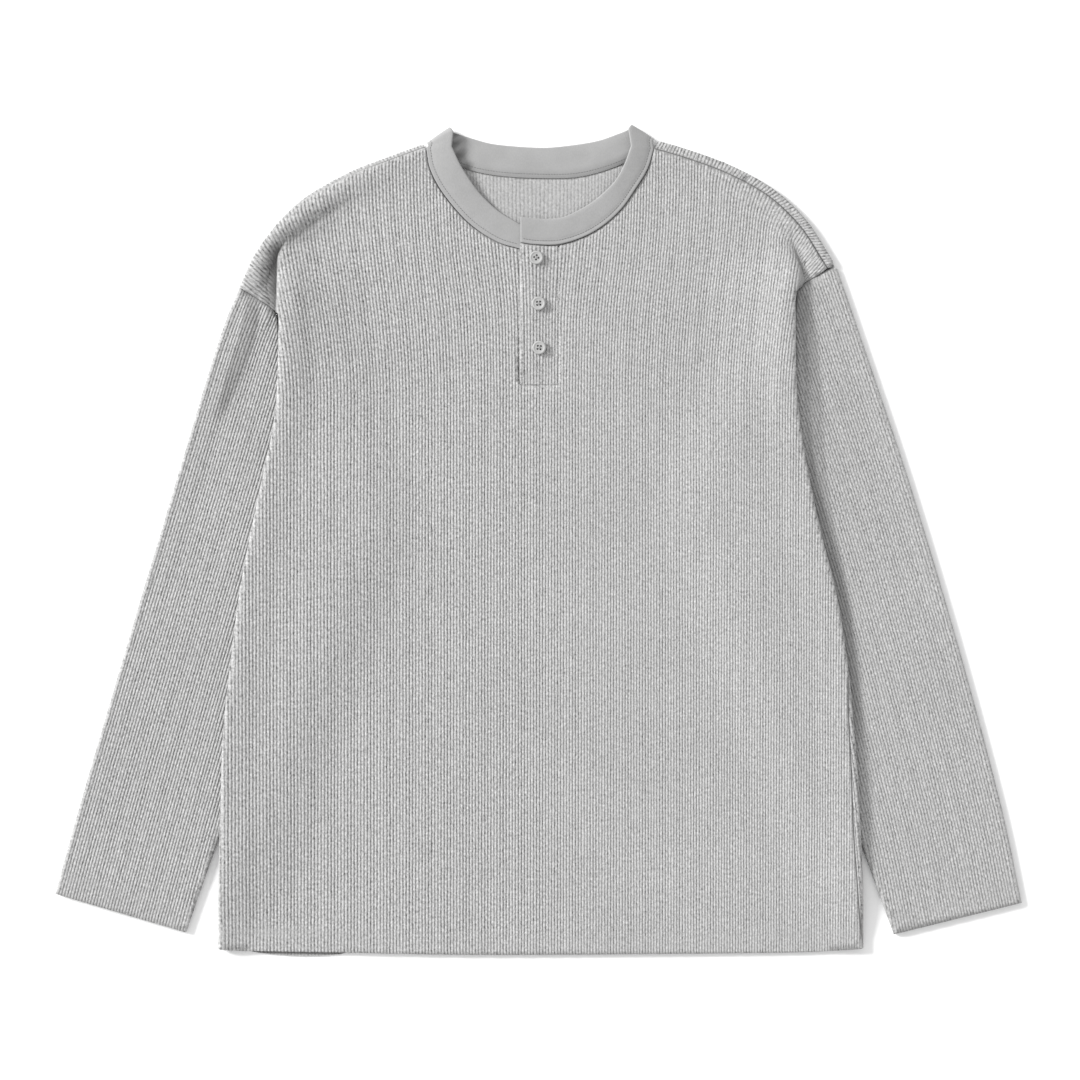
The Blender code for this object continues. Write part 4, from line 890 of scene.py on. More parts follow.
# The grey that painted shade darkens the cloth towards.
PAINTED_SHADE_GREY = (0.09, 0.089, 0.088, 1.0)


def mesh_value(tree, name):
    return add_node(tree, "ShaderNodeAttribute", {}, attribute_name=name)["Fac"]


def with_painted_shade(tree, colour):
    """A colour mixed towards a grey by the mesh's painted shade, which is set in seams, creases and painted
    shadows.
    """
    return mixed(tree, value_node(tree, "MULTIPLY", mesh_value(tree, "painted_shade"), 0.75), colour, PAINTED_SHADE_GREY)


def knit_finish(name, light):
    """Matte cotton rib knit with painted shade in its rib valleys and where the mesh sets it: its ribs follow
    the wall's own map, its yarn the cloth's place.
    """
    material, tree, shader = new_material(name, 0.92)
    shader.inputs["Specular IOR Level"].default_value = 0.15
    shader.inputs["Sheen Weight"].default_value = 0.12
    shader.inputs["Sheen Roughness"].default_value = 0.6
    place = object_place(tree)
    flat = add_node(tree, "ShaderNodeUVMap", {}, uv_map="knit")["UV"]
    inputs = {"Map": flat, "Place": place, "Keep": mesh_value(tree, "keep")}
    yarn = add_node(tree, "ShaderNodeGroup", inputs, node_tree=KNIT_YARN_AND_SHADE)
    cloud = tinted(tree, noise_node(tree, place, 9.0), grey(0.93), grey(1.06))
    soft = mixed(tree, 1.0, tinted(tree, yarn["Shade"], KNIT_DARK, light), cloud, "MULTIPLY")
    tree.links.new(with_painted_shade(tree, soft), shader.inputs["Base Color"])
    add_bump(tree, shader, yarn["Height"], 0.7, KNIT_BUMP)
    return material


RAISE_RIBS = rib_tree()
BODY_KNIT = knit_finish("body_knit", KNIT_LIGHT)
BACK_ROWS = np.arange(-356.0, 352.0, 14.0)
NECK_STRETCHES = ((-340.0, 230.0, 38.0), (246.0, 302.0, 7.0), (304.0, 350.0, 2.0))
NECK_ROWS = np.concatenate([np.arange(*stretch) for stretch in NECK_STRETCHES])

back_edge, back_folded = back_loop()
back_mesh = knit_panel(
    "back_cloth",
    back_surface,
    back_edge,
    back_folded,
    back_edge[:, 1] > HEM_SEWN_FROM,
    -1.0,
    ((-WALL, 0.25, BACK_ROWS, -BACK_GROOVE), (0.0, 0.5, NECK_ROWS, BACK_INNER_RIB)),
    back_keep,
)
back_cloth = grown("back_cloth", back_mesh, RAISE_RIBS, finish=BODY_KNIT)

# ---------------------------------------------------------------- front
# The front is one panel of the same rib knit, slit at the neck for the placket. Its sides fold
# down to the back's, it lies over the tops of both sleeves, and its hem is turned up and sewn.

FRONT_LEVEL = 2.3
FOLD_PUFF = 2.8
PUFF_REACH = 34.0
PLACKET_LEFT = -15.8
PLACKET_RIGHT = 17.1
PLACKET_FOOT = 135.0
PLACKET_GAP = 0.06
FRONT_HEM = [  # x, y
    (-280.6, -357.6), (-261.0, -359.2), (-169.0, -361.0), (-77.0, -362.7), (26.0, -362.7),
    (209.0, -361.0), (260.0, -359.0), (284.6, -357.0),
]
LEFT_NECK_SEAM = [  # x, y
    (-16.3, 253.5), (-37.2, 260.3), (-61.7, 276.9), (-83.6, 302.3), (-94.9, 323.3), (-98.4, 341.0),
]
RIGHT_NECK_SEAM = [  # x, y
    (-16.0, 259.2), (-2.2, 257.3), (18.8, 257.7), (40.7, 264.7), (58.2, 275.2), (73.1, 289.2),
    (83.6, 304.1), (95.4, 323.3), (101.0, 341.0),
]
LEFT_CREASE = [  # x, y, strength
    (-158.0, 294.0, 0.0), (-177.0, 284.5, 0.6), (-190.0, 276.0, 0.9), (-206.0, 267.0, 1.0),
    (-219.0, 260.0, 1.0), (-226.5, 252.0, 1.0), (-229.0, 238.0, 1.0), (-229.5, 222.0, 1.0),
    (-229.0, 208.0, 0.8),
]
LEFT_SWELL = [  # x, y, strength
    (-140.0, 318.0, 0.0), (-166.0, 306.0, 0.5), (-198.0, 288.0, 0.9), (-219.0, 270.0, 1.0),
    (-239.0, 246.0, 1.0), (-250.0, 226.0, 0.4),
]
RIGHT_CREASE = [  # x, y, strength
    (217.0, 264.0, 0.0), (223.5, 253.0, 0.7), (228.0, 243.0, 1.0), (230.5, 232.0, 1.0),
    (229.5, 223.0, 1.0),
]


CREASE_RELIEF = (  # what swells, its width and its height
    (LEFT_SWELL, 10.5, 4.4),
    (RIGHT_CREASE, 5.5, -2.8),
)
LEFT_CREASE_RELIEF = (9.5, -5.0)
RIDGE_HEIGHT = 3.4
RIDGE_FOOT = 60.0
RIDGE_TOP = 285.0
RIDGE_WIDTH = 16.0
RIDGE_IN = 10.0
BODY_FOLD_FEET = (194.0, 214.0)
FRONT_LIFT = (212.0, 262.0)
FRONT_WEAR = 0.2
PLACKET_TUCK = 1.5
PLACKET_TUCK_HEIGHT = 147.0
SLIT_TOPS = (253.2, 257.0)
FRONT_SIDE_TOPS = (195.0, 213.0)
FRONT_FEET = (-357.3, -356.6)
FRONT_ARM_END = 249.5


def fold_puff(x, y):
    """The body stands a little fuller along its folds."""
    gap = np.full(x.shape, np.inf)
    for name, _, _ in BODY_FOLDS:
        gap = np.minimum(gap, path_distance(fold_outline(name, 20.0), x, y))
    return FOLD_PUFF * smooth_step(1.12 - gap / PUFF_REACH)


def swell(path, width, height, x, y):
    """A soft swelling, or a crease where the height is negative, along a path of x, y, strength."""
    out = np.zeros(x.shape)
    for px, py, strength in curve(path, 5.0):
        out = np.maximum(out, strength * np.exp(-((x - px) ** 2 + (y - py) ** 2) / width**2))
    return height * out


def past_fold(sign, fold, x, y):
    """Whether a place lies past the line where the body folds down to a shoulder, from 0 to 1."""
    return smooth_step((sign * x - sign * read(fold, y) + 1.2) / 3.4)


def left_crease(width, height, x, y):
    """The crease of the left shoulder, which ends sharply at the body's edge beside it."""
    body = (1.0 - past_fold(-1.0, LEFT_BODY_FOLD, x, y)) * smooth_step((262.0 - y) / 14.0)
    return swell(LEFT_CREASE, width, height, x, y) * (1.0 - body)


def painted_crease_shade(x, y):
    """Painted shade in the deep creases beside the body, darkest in the left one and up the wall of the
    body's edge that rises from it.
    """
    low = smooth_step((276.0 - y) / 30.0)
    beside = smooth_step(past_fold(-1.0, LEFT_BODY_FOLD, x, y) / 0.3) * smooth_step((264.0 - y) / 10.0)
    soft = (0.3 + 0.5 * low) * left_crease(8.0, 1.0, x, y)
    sharp = 1.25 * beside * swell(LEFT_CREASE, 8.5, 1.0, x, y)
    return np.maximum(np.maximum(soft, sharp), 0.28 * swell(RIGHT_CREASE, 4.0, 1.0, x, y))


def front_inner(x, y):
    """Level of the front's inner face, before its edges are folded down."""
    z = FRONT_LEVEL + fold_puff(x, y)
    body_side = np.ones(x.shape)
    height = RIDGE_HEIGHT * smooth_step((y - RIDGE_FOOT) / 120.0) * smooth_step((RIDGE_TOP - y) / 50.0)
    for sign, fold, foot in zip((-1.0, 1.0), (LEFT_BODY_FOLD, RIGHT_BODY_FOLD), BODY_FOLD_FEET):
        line = sign * read(fold, y)
        past = past_fold(sign, fold, x, y)
        body_side = body_side * (1.0 - past * smooth_step((y - foot) / 6.0))
        ridge = np.exp(-(((sign * x - line + RIDGE_IN) / RIDGE_WIDTH) ** 2))
        z = z + height * ridge * body_side
    lift = SLEEVE_STACK * over_sleeve(x, y, FRONT_LIFT[0]) * body_side
    z = z + lift * smooth_step((FRONT_LIFT[1] - y) / 45.0)
    z = z + left_crease(*LEFT_CREASE_RELIEF, x, y) + sum(swell(*row, x, y) for row in CREASE_RELIEF)
    return np.maximum(z, FRONT_LEVEL)


def front_surface(x, y):
    return folded_surface(front_inner, x, y, upward=False)


def front_loop(step=EDGE_STEP):
    """Plan of the front, anticlockwise from its lower left corner, and which points are folded."""
    left, right = side_edges(step, False, FRONT_SIDE_TOPS, FRONT_FEET)
    hem = curve(FRONT_HEM, step)[1:-1]
    left_arm = moved(curve(LEFT_ARMHOLE[::-1], step), -SEAM_GAP / 2)[:-1]
    right_arm = moved(curve(RIGHT_ARMHOLE[::-1], step), SEAM_GAP / 2)
    right_arm = right_arm[right_arm[:, 0] < FRONT_ARM_END]
    left_top = fold_edge("left_shoulder", step, back=False)
    right_top = fold_edge("right_shoulder", step, back=False)
    left_neck = moved(curve(LEFT_NECK_SEAM, step), SEAM_GAP / 2)[1:-1]
    right_neck = moved(curve(RIGHT_NECK_SEAM, step), -SEAM_GAP / 2)[1:-1]
    slit_left = PLACKET_LEFT - SEAM_GAP
    slit_right = PLACKET_RIGHT + PLACKET_GAP
    slit_foot = PLACKET_FOOT - PLACKET_GAP
    right_neck = right_neck[right_neck[:, 0] > slit_right + 1.0]
    left_neck = left_neck[left_neck[:, 0] < slit_left - 1.0]
    heights = np.arange(SLIT_TOPS[0], slit_foot, -step)
    tuck = PLACKET_TUCK * np.exp(-(((heights - PLACKET_TUCK_HEIGHT) / 8.0) ** 2))
    slit = list(zip(slit_left - tuck, heights))
    slit += [(x, slit_foot) for x in np.arange(slit_left, slit_right, step)]
    slit += [(slit_right, y) for y in np.arange(slit_foot, SLIT_TOPS[1], step)]
    return join(
        (hem, False),
        (right, True),
        (right_arm, False),
        (right_top, False),
        (right_neck[::-1], False),
        (np.array(slit[::-1]), False),
        (left_neck, False),
        (left_top, False),
        (left_arm[::-1], False),
        (left, True),
    )


def front_keep(x, y):
    worn = 1.0 - FRONT_WEAR * smooth_step((x + 30.0) / 80.0)
    return pressed_hem(y - read(FRONT_HEM, x)) * (1.0 - 0.85 * cap_turn(x, y)[2]) * worn


FRONT_ROWS = np.concatenate([np.arange(-359.0, 172.0, 8.0), np.arange(178.0, 350.0, 4.0)])
FRONT_INNER_ROWS = np.arange(-350.0, 345.0, 12.0)

front_edge, front_folded = front_loop()
front_folded |= (front_edge[:, 0] < -196.0) & (front_edge[:, 1] > 226.0)
front_mesh = knit_panel(
    "front_cloth",
    front_surface,
    front_edge,
    front_folded,
    (front_edge[:, 1] > HEM_SEWN_FROM) & ((np.abs(front_edge[:, 0]) > 20.0) | (front_edge[:, 1] > 256.0)),
    1.0,
    ((WALL, 0.25, FRONT_ROWS, RIB_HEIGHT), (0.0, 4.0, FRONT_INNER_ROWS, 0.0)),
    front_keep,
    painted_crease_shade,
)
front_cloth = grown("front_cloth", front_mesh, RAISE_RIBS, finish=BODY_KNIT)

# ---------------------------------------------------------------- sleeves
# Each sleeve is one piece of rib knit sewn into a tube, laid flat, with its cuff turned up and
# sewn. Its top is sewn to the armhole and runs in under the body.

SLEEVE_LEVEL = 3.0
SLEEVE_RADIUS = 2.25
SLEEVE_INNER_RADIUS = SLEEVE_RADIUS - WALL
SLEEVE_HALF_ROLL = SLEEVE_INNER_RADIUS * ROLL
SLEEVE_GROOVE = 0.3
SLEEVE_RIBS = (0.5, 62.0)
SLEEVE_RUN_ON = (90.0, 60.0)
# The second share is the painted shade along each sleeve's seams.
SLEEVE_SHARES = {-1.0: (1.0, 0.3), 1.0: (0.72, 0.4)}  # how much of the ribs is kept, shade of the seam
LEFT_SLEEVE_OUTER = [  # x, y
    (-261.9, 220.6), (-281.0, 171.0), (-317.2, 52.0), (-359.2, -87.9), (-400.3, -227.9),
    (-423.0, -309.3),
]
RIGHT_SLEEVE_OUTER = [  # x, y
    (261.6, 237.1), (283.1, 174.6), (324.2, 52.0), (366.2, -87.9), (403.8, -227.9), (423.0, -317.2),
]
RIGHT_SLEEVE_FOLDS = [  # path of x, y, strength, with its width and height
    ([(-251, 205, 0.8), (-262, 160, 1.0), (-279, 95, 1.0), (-298, 20, 0.6), (-318, -60, 0.0)], 9.0, -1.0),
    ([(-246, 211, 0.3), (-249, 196, 1.0), (-257, 166, 1.0), (-267, 138, 0.7), (-282, 104, 0.0)], 7.5, 2.6),
    ([(-234, 203, 0.0), (-238, 195, 1.0), (-240, 184, 0.6), (-243, 172, 0.0)], 4.0, 1.3),
]
LEFT_SLEEVE_SWELL = [  # x, y, strength, as on the other side
    (-228.0, 212.0, 0.5), (-230.0, 180.0, 1.0), (-232.0, 140.0, 1.0), (-236.0, 95.0, 0.8),
    (-246.0, 50.0, 0.5), (-256.0, 5.0, 0.0),
]
LEFT_SLEEVE_FOLDS = [  # path of x, y, strength, with its width and height, as on the other side
    ([(-262, 175, 0.0), (-286, 100, 0.7), (-318, 0, 0.5), (-350, -100, 0.0)], 10.0, -1.0),
    (LEFT_SLEEVE_SWELL, 13.0, 1.8),
]
# A valley of the right sleeve gets painted shade, and the stretch of the left one beside the body gets a
# painted shadow of the body's edge.
RIGHT_SLEEVE_PAINTED_SHADE = [  # x, y, strength
    (-250.0, 208.0, 0.7), (-251.0, 193.0, 1.0), (-257.0, 170.0, 1.0), (-263.5, 151.0, 1.0),
    (-271.0, 130.0, 0.8), (-278.0, 109.0, 0.5), (-286.0, 85.0, 0.0),
]
LEFT_SLEEVE_PAINTED_SHADOW = [  # x, y, strength, on the other side
    (-223.1, 222.7, 1.0), (-230.9, 204.0, 1.0), (-236.2, 174.6, 1.0), (-238.8, 148.0, 1.0),
    (-241.5, 113.0, 1.0), (-242.5, 78.0, 1.0), (-247.5, 35.0, 0.95), (-256.5, -9.0, 0.9),
    (-265.5, -55.0, 0.9), (-270.5, -103.0, 0.85), (-276.0, -160.0, 0.7), (-279.0, -215.0, 0.0),
]


def mirrored(rows):
    return [(-x, y) for x, y in rows]


def sleeve_surface(outer_axis, inner_axis, folds, top):
    """A sleeve's inner face, laid on the surface or over it, with both long edges folded."""

    def surface(x, y):
        place_x = x.copy()
        place_y = y.copy()
        bend = np.zeros(x.shape)
        edge = np.full(x.shape, np.inf)
        for axis in (outer_axis, inner_axis):
            gap, nx, ny, _ = nearest(axis, x, y)
            edge = np.minimum(edge, gap)
            past = np.clip(-gap, 0.0, SLEEVE_HALF_ROLL)
            angle = past / SLEEVE_INNER_RADIUS
            reach = past - SLEEVE_INNER_RADIUS * np.sin(angle)
            place_x = place_x + nx * reach
            place_y = place_y + ny * reach
            bend = bend + SLEEVE_INNER_RADIUS * (1.0 - np.cos(angle))
        if not top:
            return np.column_stack([place_x, place_y, WALL + bend])
        relief = sum(swell(*fold, place_x, place_y) for fold in folds) * smooth_step(edge / 8.0)
        return np.column_stack([place_x, place_y, SLEEVE_LEVEL + relief - bend])

    return surface


def sleeve_lines(outer_axis, wales, heights):
    """Rib lines of a sleeve, side by side from its outer edge, with a point at every height."""
    start, end = outer_axis[0], outer_axis[-1]
    first = start + (start - outer_axis[1]) / np.linalg.norm(start - outer_axis[1]) * SLEEVE_RUN_ON[0]
    last = end + (end - outer_axis[-2]) / np.linalg.norm(end - outer_axis[-2]) * SLEEVE_RUN_ON[1]
    long = curve(np.vstack([first, outer_axis, last]), heights)
    run = np.gradient(long, axis=0)
    normal = np.column_stack([-run[:, 1], run[:, 0]]) / np.linalg.norm(run, axis=1)[:, None]
    return [long + normal * wale for wale in wales]


def cuff_keep(x, y, cuff):
    run = cuff[1] - cuff[0]
    return pressed_hem(np.abs((x - cuff[0][0]) * run[1] - (y - cuff[0][1]) * run[0]) / np.linalg.norm(run))


def sleeve_loop(outer_edge, inner_edge, armhole, end_top):
    """Plan of a sleeve from the top of its outer edge, and which points are folded."""
    cuff_ends = (outer_edge[-1], inner_edge[0])
    count = int(np.linalg.norm(cuff_ends[1] - cuff_ends[0]) / EDGE_STEP)
    hidden = curve([(-x, y) for x, y in HIDDEN_END if y < end_top], EDGE_STEP)
    arm = moved(curve(armhole, EDGE_STEP), -SEAM_GAP / 2)
    return join(
        (outer_edge, True),
        (np.linspace(*cuff_ends, count)[1:-1], False),
        (inner_edge, True),
        (hidden[1:], False),
        (arm[::-1][:-1], False),
    )


def make_sleeve(name, sign, outer, inner, armhole, folds, shade, end_top):
    """A sleeve as one flattened tube, worked out on the -X side and mirrored for the other."""
    outer_axis = moved(curve(outer, 10.0), SLEEVE_RADIUS + RIB_HEIGHT)
    inner_axis = moved(curve(inner, 10.0), SLEEVE_RADIUS + 0.2)
    outer_edge = moved(curve(outer_axis, EDGE_STEP), -SLEEVE_HALF_ROLL)
    inner_edge = moved(curve(inner_axis, EDGE_STEP), -SLEEVE_HALF_ROLL)
    loop, folded = sleeve_loop(outer_edge, inner_edge, armhole, end_top)
    tree = edge_tree(loop)
    seams = edge_tree(loop, (loop[:, 1] > 100.0) & ~folded)
    behind = behind_edge(loop, folded, (SLEEVE_HALF_ROLL / 3, SLEEVE_HALF_ROLL * 2 / 3, SLEEVE_HALF_ROLL))
    keep_share, painted_seam_share = SLEEVE_SHARES[sign]
    wall = Wall()
    edges = {}
    for top, face in ((True, "outer"), (True, "inner"), (False, "outer"), (False, "inner")):
        surface = sleeve_surface(outer_axis, inner_axis, folds, top)
        step, rise = (0.25, 7.0 if top else 14.0) if face == "outer" else (4.0, 14.0)
        wales = np.arange(*SLEEVE_RIBS, step) * RIB_PITCH
        ribs, runs = rib_points(sleeve_lines(outer_axis, wales, rise), loop, SLEEVE_HALF_ROLL + 0.5, tree)
        runs = [(a + len(behind), b + len(behind)) for a, b in runs]
        fill = np.vstack([behind, ribs])
        x, y = np.vstack([loop, fill]).T
        out = normals(surface, x, y) * (1.0 if top else -1.0)
        places = surface(x, y) + out * (0.0 if face == "inner" else WALL)
        gap, _, _, along = nearest(outer_axis, x, y)
        seam = edge_gap(seams, x, y)
        keep = smooth_step(seam / SEAM_REACH) * cuff_keep(x, y, (outer_edge[-1], inner_edge[0])) * keep_share
        relief = np.full(x.shape, 0.0 if face == "inner" else (RIB_HEIGHT if top else -SLEEVE_GROOVE))
        relief[np.minimum(gap, nearest(inner_axis, x, y)[0]) < 0.3] *= FOLD_RELIEF
        if face == "outer" and top:
            dip = np.clip(1.0 - seam / SEAM_DIP_REACH, 0.0, 1.0) ** 2 * SEAM_DIP
            places -= out * dip[:, None]
        places[:, 0] *= -sign
        out[:, 0] *= -sign
        painted_shade = smooth_step(1.15 - seam / 1.5) * painted_seam_share
        # Painted shade over a valley, or a painted shadow beside the body, on the top of the sleeve.
        if top:
            path, width, depth = shade
            painted_shade = np.maximum(painted_shade, depth * smooth_step(swell(path, width, 1.0, x, y) / 0.4 - 0.7))
        indices = wall.add(places, out, gap / RIB_PITCH, along, keep, relief, painted_shade)
        if not top:
            shared = edges[(True, face)]
            indices = [shared[i] if i < len(loop) and folded[i] else spot for i, spot in enumerate(indices)]
        flip = ((face == "inner") == top) != (sign > 0)
        wall.sheet(indices, triangulate(loop, fill, runs), flip=flip)
        edges[(top, face)] = indices[: len(loop)]
    for top in (True, False):
        for i in range(len(loop)):
            j = (i + 1) % len(loop)
            if not (folded[i] and folded[j]):
                pairs = ([edges[(top, face)][k] for k in (i, j)] for face in ("outer", "inner"))
                wall.rim(*pairs, closed=False)
    return grown(name, oriented(wall.mesh(name)), RAISE_RIBS, finish=SLEEVE_KNIT)


def oriented(mesh):
    """A closed wall with all its faces turned outwards."""
    bm = bmesh.new()
    bm.from_mesh(mesh)
    bmesh.ops.recalc_face_normals(bm, faces=bm.faces)
    bm.to_mesh(mesh)
    bm.free()
    return mesh


SLEEVE_KNIT = knit_finish("sleeve_knit", (0.575, 0.573, 0.571))
sleeve_right_cloth = make_sleeve(
    "sleeve_right_cloth",
    -1.0,
    LEFT_SLEEVE_OUTER,
    LEFT_SLEEVE_INNER,
    LEFT_ARMHOLE,
    RIGHT_SLEEVE_FOLDS,
    (RIGHT_SLEEVE_PAINTED_SHADE, 8.0, 0.6),
    end_top=170.0,
)
sleeve_left_cloth = make_sleeve(
    "sleeve_left_cloth",
    1.0,
    mirrored(RIGHT_SLEEVE_OUTER),
    mirrored(RIGHT_SLEEVE_INNER),
    mirrored(RIGHT_ARMHOLE),
    LEFT_SLEEVE_FOLDS,
    (LEFT_SLEEVE_PAINTED_SHADOW, 8.5, 0.42),
    end_top=200.0,
)

# ---------------------------------------------------------------- neckband
# The neckband is a strip of smooth jersey folded along its free edge. It is sewn on round the
# neck, turned up, and stitched through beside its seam, and its ends overlap at the placket.

BAND_WALL = 2.2
BAND_LOW = BAND_WALL / 2 + 0.02
BAND_SEAM_IN = 0.5
BAND_STITCH_IN = 3.6
BAND_PUFF = 0.22
BAND_STITCH_DIP = 0.4
BAND_PAINTED_SHADOW = 0.95
BAND_SECTION = 13
BAND_BACK_ROWS = slice(98, 188)
BAND_FRONT_COUNT = 90
BAND_BACK_COUNT = 76
BAND_ROLL_COUNT = 17
BAND_EDGE_IN = 0.35
BAND_TUCK = np.array([[14.8, -4.0, 0.0], [14.3, -1.2, 0.0]])
LEFT_NECK_EDGE = [  # x, y
    (-16.8, 276.0), (-35.4, 287.4), (-52.1, 303.6), (-66.9, 325.1), (-75.6, 343.0),
]
RIGHT_NECK_EDGE = [  # x, y
    (-16.0, 281.8), (0.0, 280.4), (18.8, 281.2), (34.6, 287.6), (50.3, 297.5), (66.0, 312.4),
    (74.8, 327.7), (80.6, 343.4),
]
BACK_NECK_EDGE = [  # x, y
    (-71.0, 354.8), (-55.6, 349.9), (-37.2, 345.5), (-3.0, 342.8), (18.8, 343.6), (50.3, 348.3),
    (73.0, 356.0),
]
LEFT_NECK_PEAK = (-77.2, 360.4)
RIGHT_NECK_PEAK = (81.0, 362.7)
LEFT_NECK_FOOT = (-97.6, 346.8)
RIGHT_NECK_FOOT = (101.1, 350.2)
NECK_HEIGHTS = [  # share of the way from the placket to the shoulder, level at the edge, at the seam
    (0.0, 6.0, 5.5), (0.2, 5.1, 4.1), (0.5, 5.0, 3.8), (0.8, 7.2, 4.4), (1.0, 9.0, 5.1),
]
LEFT_NECK_HEIGHTS = [  # share of the way, level at the edge, at the seam
    (0.0, 3.3, 3.2), (0.2, 3.7, 3.3), (0.5, 5.2, 3.7), (0.8, 7.8, 4.4), (1.0, 9.6, 5.1),
]


def along_path(path, share):
    """The x and y of a path at shares of its rows."""
    along = np.linspace(0.0, 1.0, len(path))
    return [np.interp(share, along, path[:, k]) for k in (0, 1)]


def band_rows(edge, seam, heights):
    """Rows across the band from its free edge to its seam, from the placket to the shoulder."""
    share = np.linspace(0.0, 1.0, BAND_FRONT_COUNT)
    table = np.array(heights)
    rows = []
    for column, path in ((1, edge), (2, seam)):
        z = np.interp(share, *curve(table[:, [0, column]], 0.02).T)
        rows.append(np.column_stack([*along_path(curve(path, 1.0), share), z]))
    return np.stack(rows, axis=1)


def band_roll(peak, foot, heights):
    """Rows round the band's fold at a shoulder, from the top to the surface."""
    peak = np.array(peak)
    foot = np.array(foot)
    run = (foot - peak) / np.linalg.norm(foot - peak)
    out = np.array([-run[1], run[0]])
    if out[1] < 0:
        out = -out
    rows = []
    for angle in np.linspace(0.0, math.pi, BAND_ROLL_COUNT):
        row = []
        for corner, top in ((peak, heights[-1][1]), (foot, heights[-1][2])):
            radius = (top - BAND_LOW) / 2
            place = corner - out * (radius + BAND_WALL / 2) + out * radius * math.sin(angle)
            row.append((*place, BAND_LOW + radius + radius * math.cos(angle)))
        rows.append(row)
    return np.array(rows)


def neckband_rows():
    """Rows across the whole band: wearer's left end, shoulder, back, shoulder, and the end beneath."""
    right_seam = moved(curve(RIGHT_NECK_SEAM, 4.0), BAND_SEAM_IN)
    left_seam = moved(curve(LEFT_NECK_SEAM, 4.0), -BAND_SEAM_IN)
    back_seam = moved(curve(BACK_NECK_SEAM, 4.0), SEAM_GAP / 2)
    right = band_rows(RIGHT_NECK_EDGE, right_seam, NECK_HEIGHTS)
    left = band_rows(LEFT_NECK_EDGE, left_seam, LEFT_NECK_HEIGHTS)
    right_roll = band_roll(RIGHT_NECK_PEAK, RIGHT_NECK_FOOT, NECK_HEIGHTS)
    left_roll = band_roll(LEFT_NECK_PEAK, LEFT_NECK_FOOT, LEFT_NECK_HEIGHTS)
    share = np.linspace(0.0, 1.0, BAND_BACK_COUNT)
    back = []
    for path in (curve(BACK_NECK_EDGE, 4.0)[::-1], back_seam[::-1]):
        back.append(np.column_stack([*along_path(path, share), np.full(share.shape, BAND_LOW)]))
    under = [left[0] + BAND_TUCK * t for t in (1 / 3, 2 / 3, 1.0)]
    return np.concatenate([right, right_roll, np.stack(back, axis=1), left_roll[::-1], left[::-1], under])


def band_frame(rows):
    """The way across the band, its width, and the way out of it, at each row."""
    run = np.gradient(rows, axis=0).mean(axis=1)
    across = rows[:, 1] - rows[:, 0]
    width = np.linalg.norm(across, axis=1)
    across = across / width[:, None]
    up = np.cross(across, run)
    return across, width, up / np.linalg.norm(up, axis=1)[:, None]


def band_ring(width):
    """The band's section from its free edge to its seam and back beneath: how far across, how high."""
    half = BAND_WALL / 2
    ring = []
    for t in np.linspace(0.0, 1.0, BAND_SECTION):
        reach = half + (width - half - BAND_EDGE_IN) * (1.0 - (1.0 - t) ** 1.35)
        puff = BAND_PUFF * math.sin(math.pi * min(1.0, reach / (width - BAND_STITCH_IN)))
        dip = BAND_STITCH_DIP * math.exp(-(((width - reach - BAND_STITCH_IN) / 1.1) ** 2))
        ring.append((reach, half + max(0.0, puff) - dip))
    ring += [(width, half - 0.4), (width, 0.4 - half), (width - BAND_EDGE_IN, -half)]
    ring += [(half + (width - half) * t, -half) for t in (0.66, 0.33)]
    for angle in np.radians(np.linspace(-90.0, 60.0, 6)):
        ring.append((half - half * math.cos(angle), half * math.sin(angle)))
    return ring


def band_mesh(name, rows):
    """A soft strip about rows: rounded at its free edge, crowned, and pulled in at its stitching, with a
    painted shadow on the back of the band beside its left front end.
    """
    across, width, up = band_frame(rows)
    rings = []
    for start, way, reach_to, out in zip(rows[:, 0], across, width, up):
        rings.append([start + way * reach + out * rise for reach, rise in band_ring(reach_to)])
    count = len(rings[0])
    places = np.array(rings).reshape(-1, 3)
    faces = []
    for k in range(len(rings) - 1):
        for i in range(count):
            j = (i + 1) % count
            faces.append((k * count + i, k * count + j, (k + 1) * count + j, (k + 1) * count + i))
    faces.append(tuple(range(count)))
    faces.append(tuple(range(len(places) - count, len(places)))[::-1])
    mesh = bpy.data.meshes.new(name)
    mesh.from_pydata((places * MM).tolist(), [], faces)
    mesh.validate()
    mesh.shade_smooth()
    # Painted shadow of the band's left front end, on the low back rows beside it.
    edge = curve(LEFT_NECK_EDGE, 3.0)
    gap = places[:, 0] - np.interp(places[:, 1], edge[:, 1], edge[:, 0])
    beside = np.clip(gap / 2.0, 0.0, 1.0) * smooth_step(1.0 - (gap - 4.0) / 4.5)
    low = (places[:, 2] < 5.5) & (places[:, 1] > 316.0)
    shade = mesh.attributes.new("painted_shade", "FLOAT", "POINT")
    shade.data.foreach_set("value", np.where(low, BAND_PAINTED_SHADOW * beside, 0.0))
    return oriented(mesh)


def jersey_finish(name):
    """Smooth matte jersey: fine upright loops and a little fluff."""
    material, tree, shader = new_material(name, 0.9)
    shader.inputs["Specular IOR Level"].default_value = 0.15
    shader.inputs["Sheen Weight"].default_value = 0.1
    place = object_place(tree)
    stretch = add_node(tree, "ShaderNodeMapping", {"Vector": place, "Scale": (1.0, 0.45, 1.0)})[0]
    loops = value_node(tree, "MULTIPLY", noise_node(tree, stretch, 1300.0, 2.0, 0.6), 0.7)
    cloud = value_node(tree, "MULTIPLY", noise_node(tree, place, 60.0, 3.0), 0.5)
    shade = value_node(tree, "ADD", loops, cloud)
    colour = tinted(tree, shade, (0.25, 0.2495, 0.249), (0.385, 0.384, 0.383))
    tree.links.new(with_painted_shade(tree, colour), shader.inputs["Base Color"])
    add_bump(tree, shader, shade, 0.35, 0.0003)
    return material


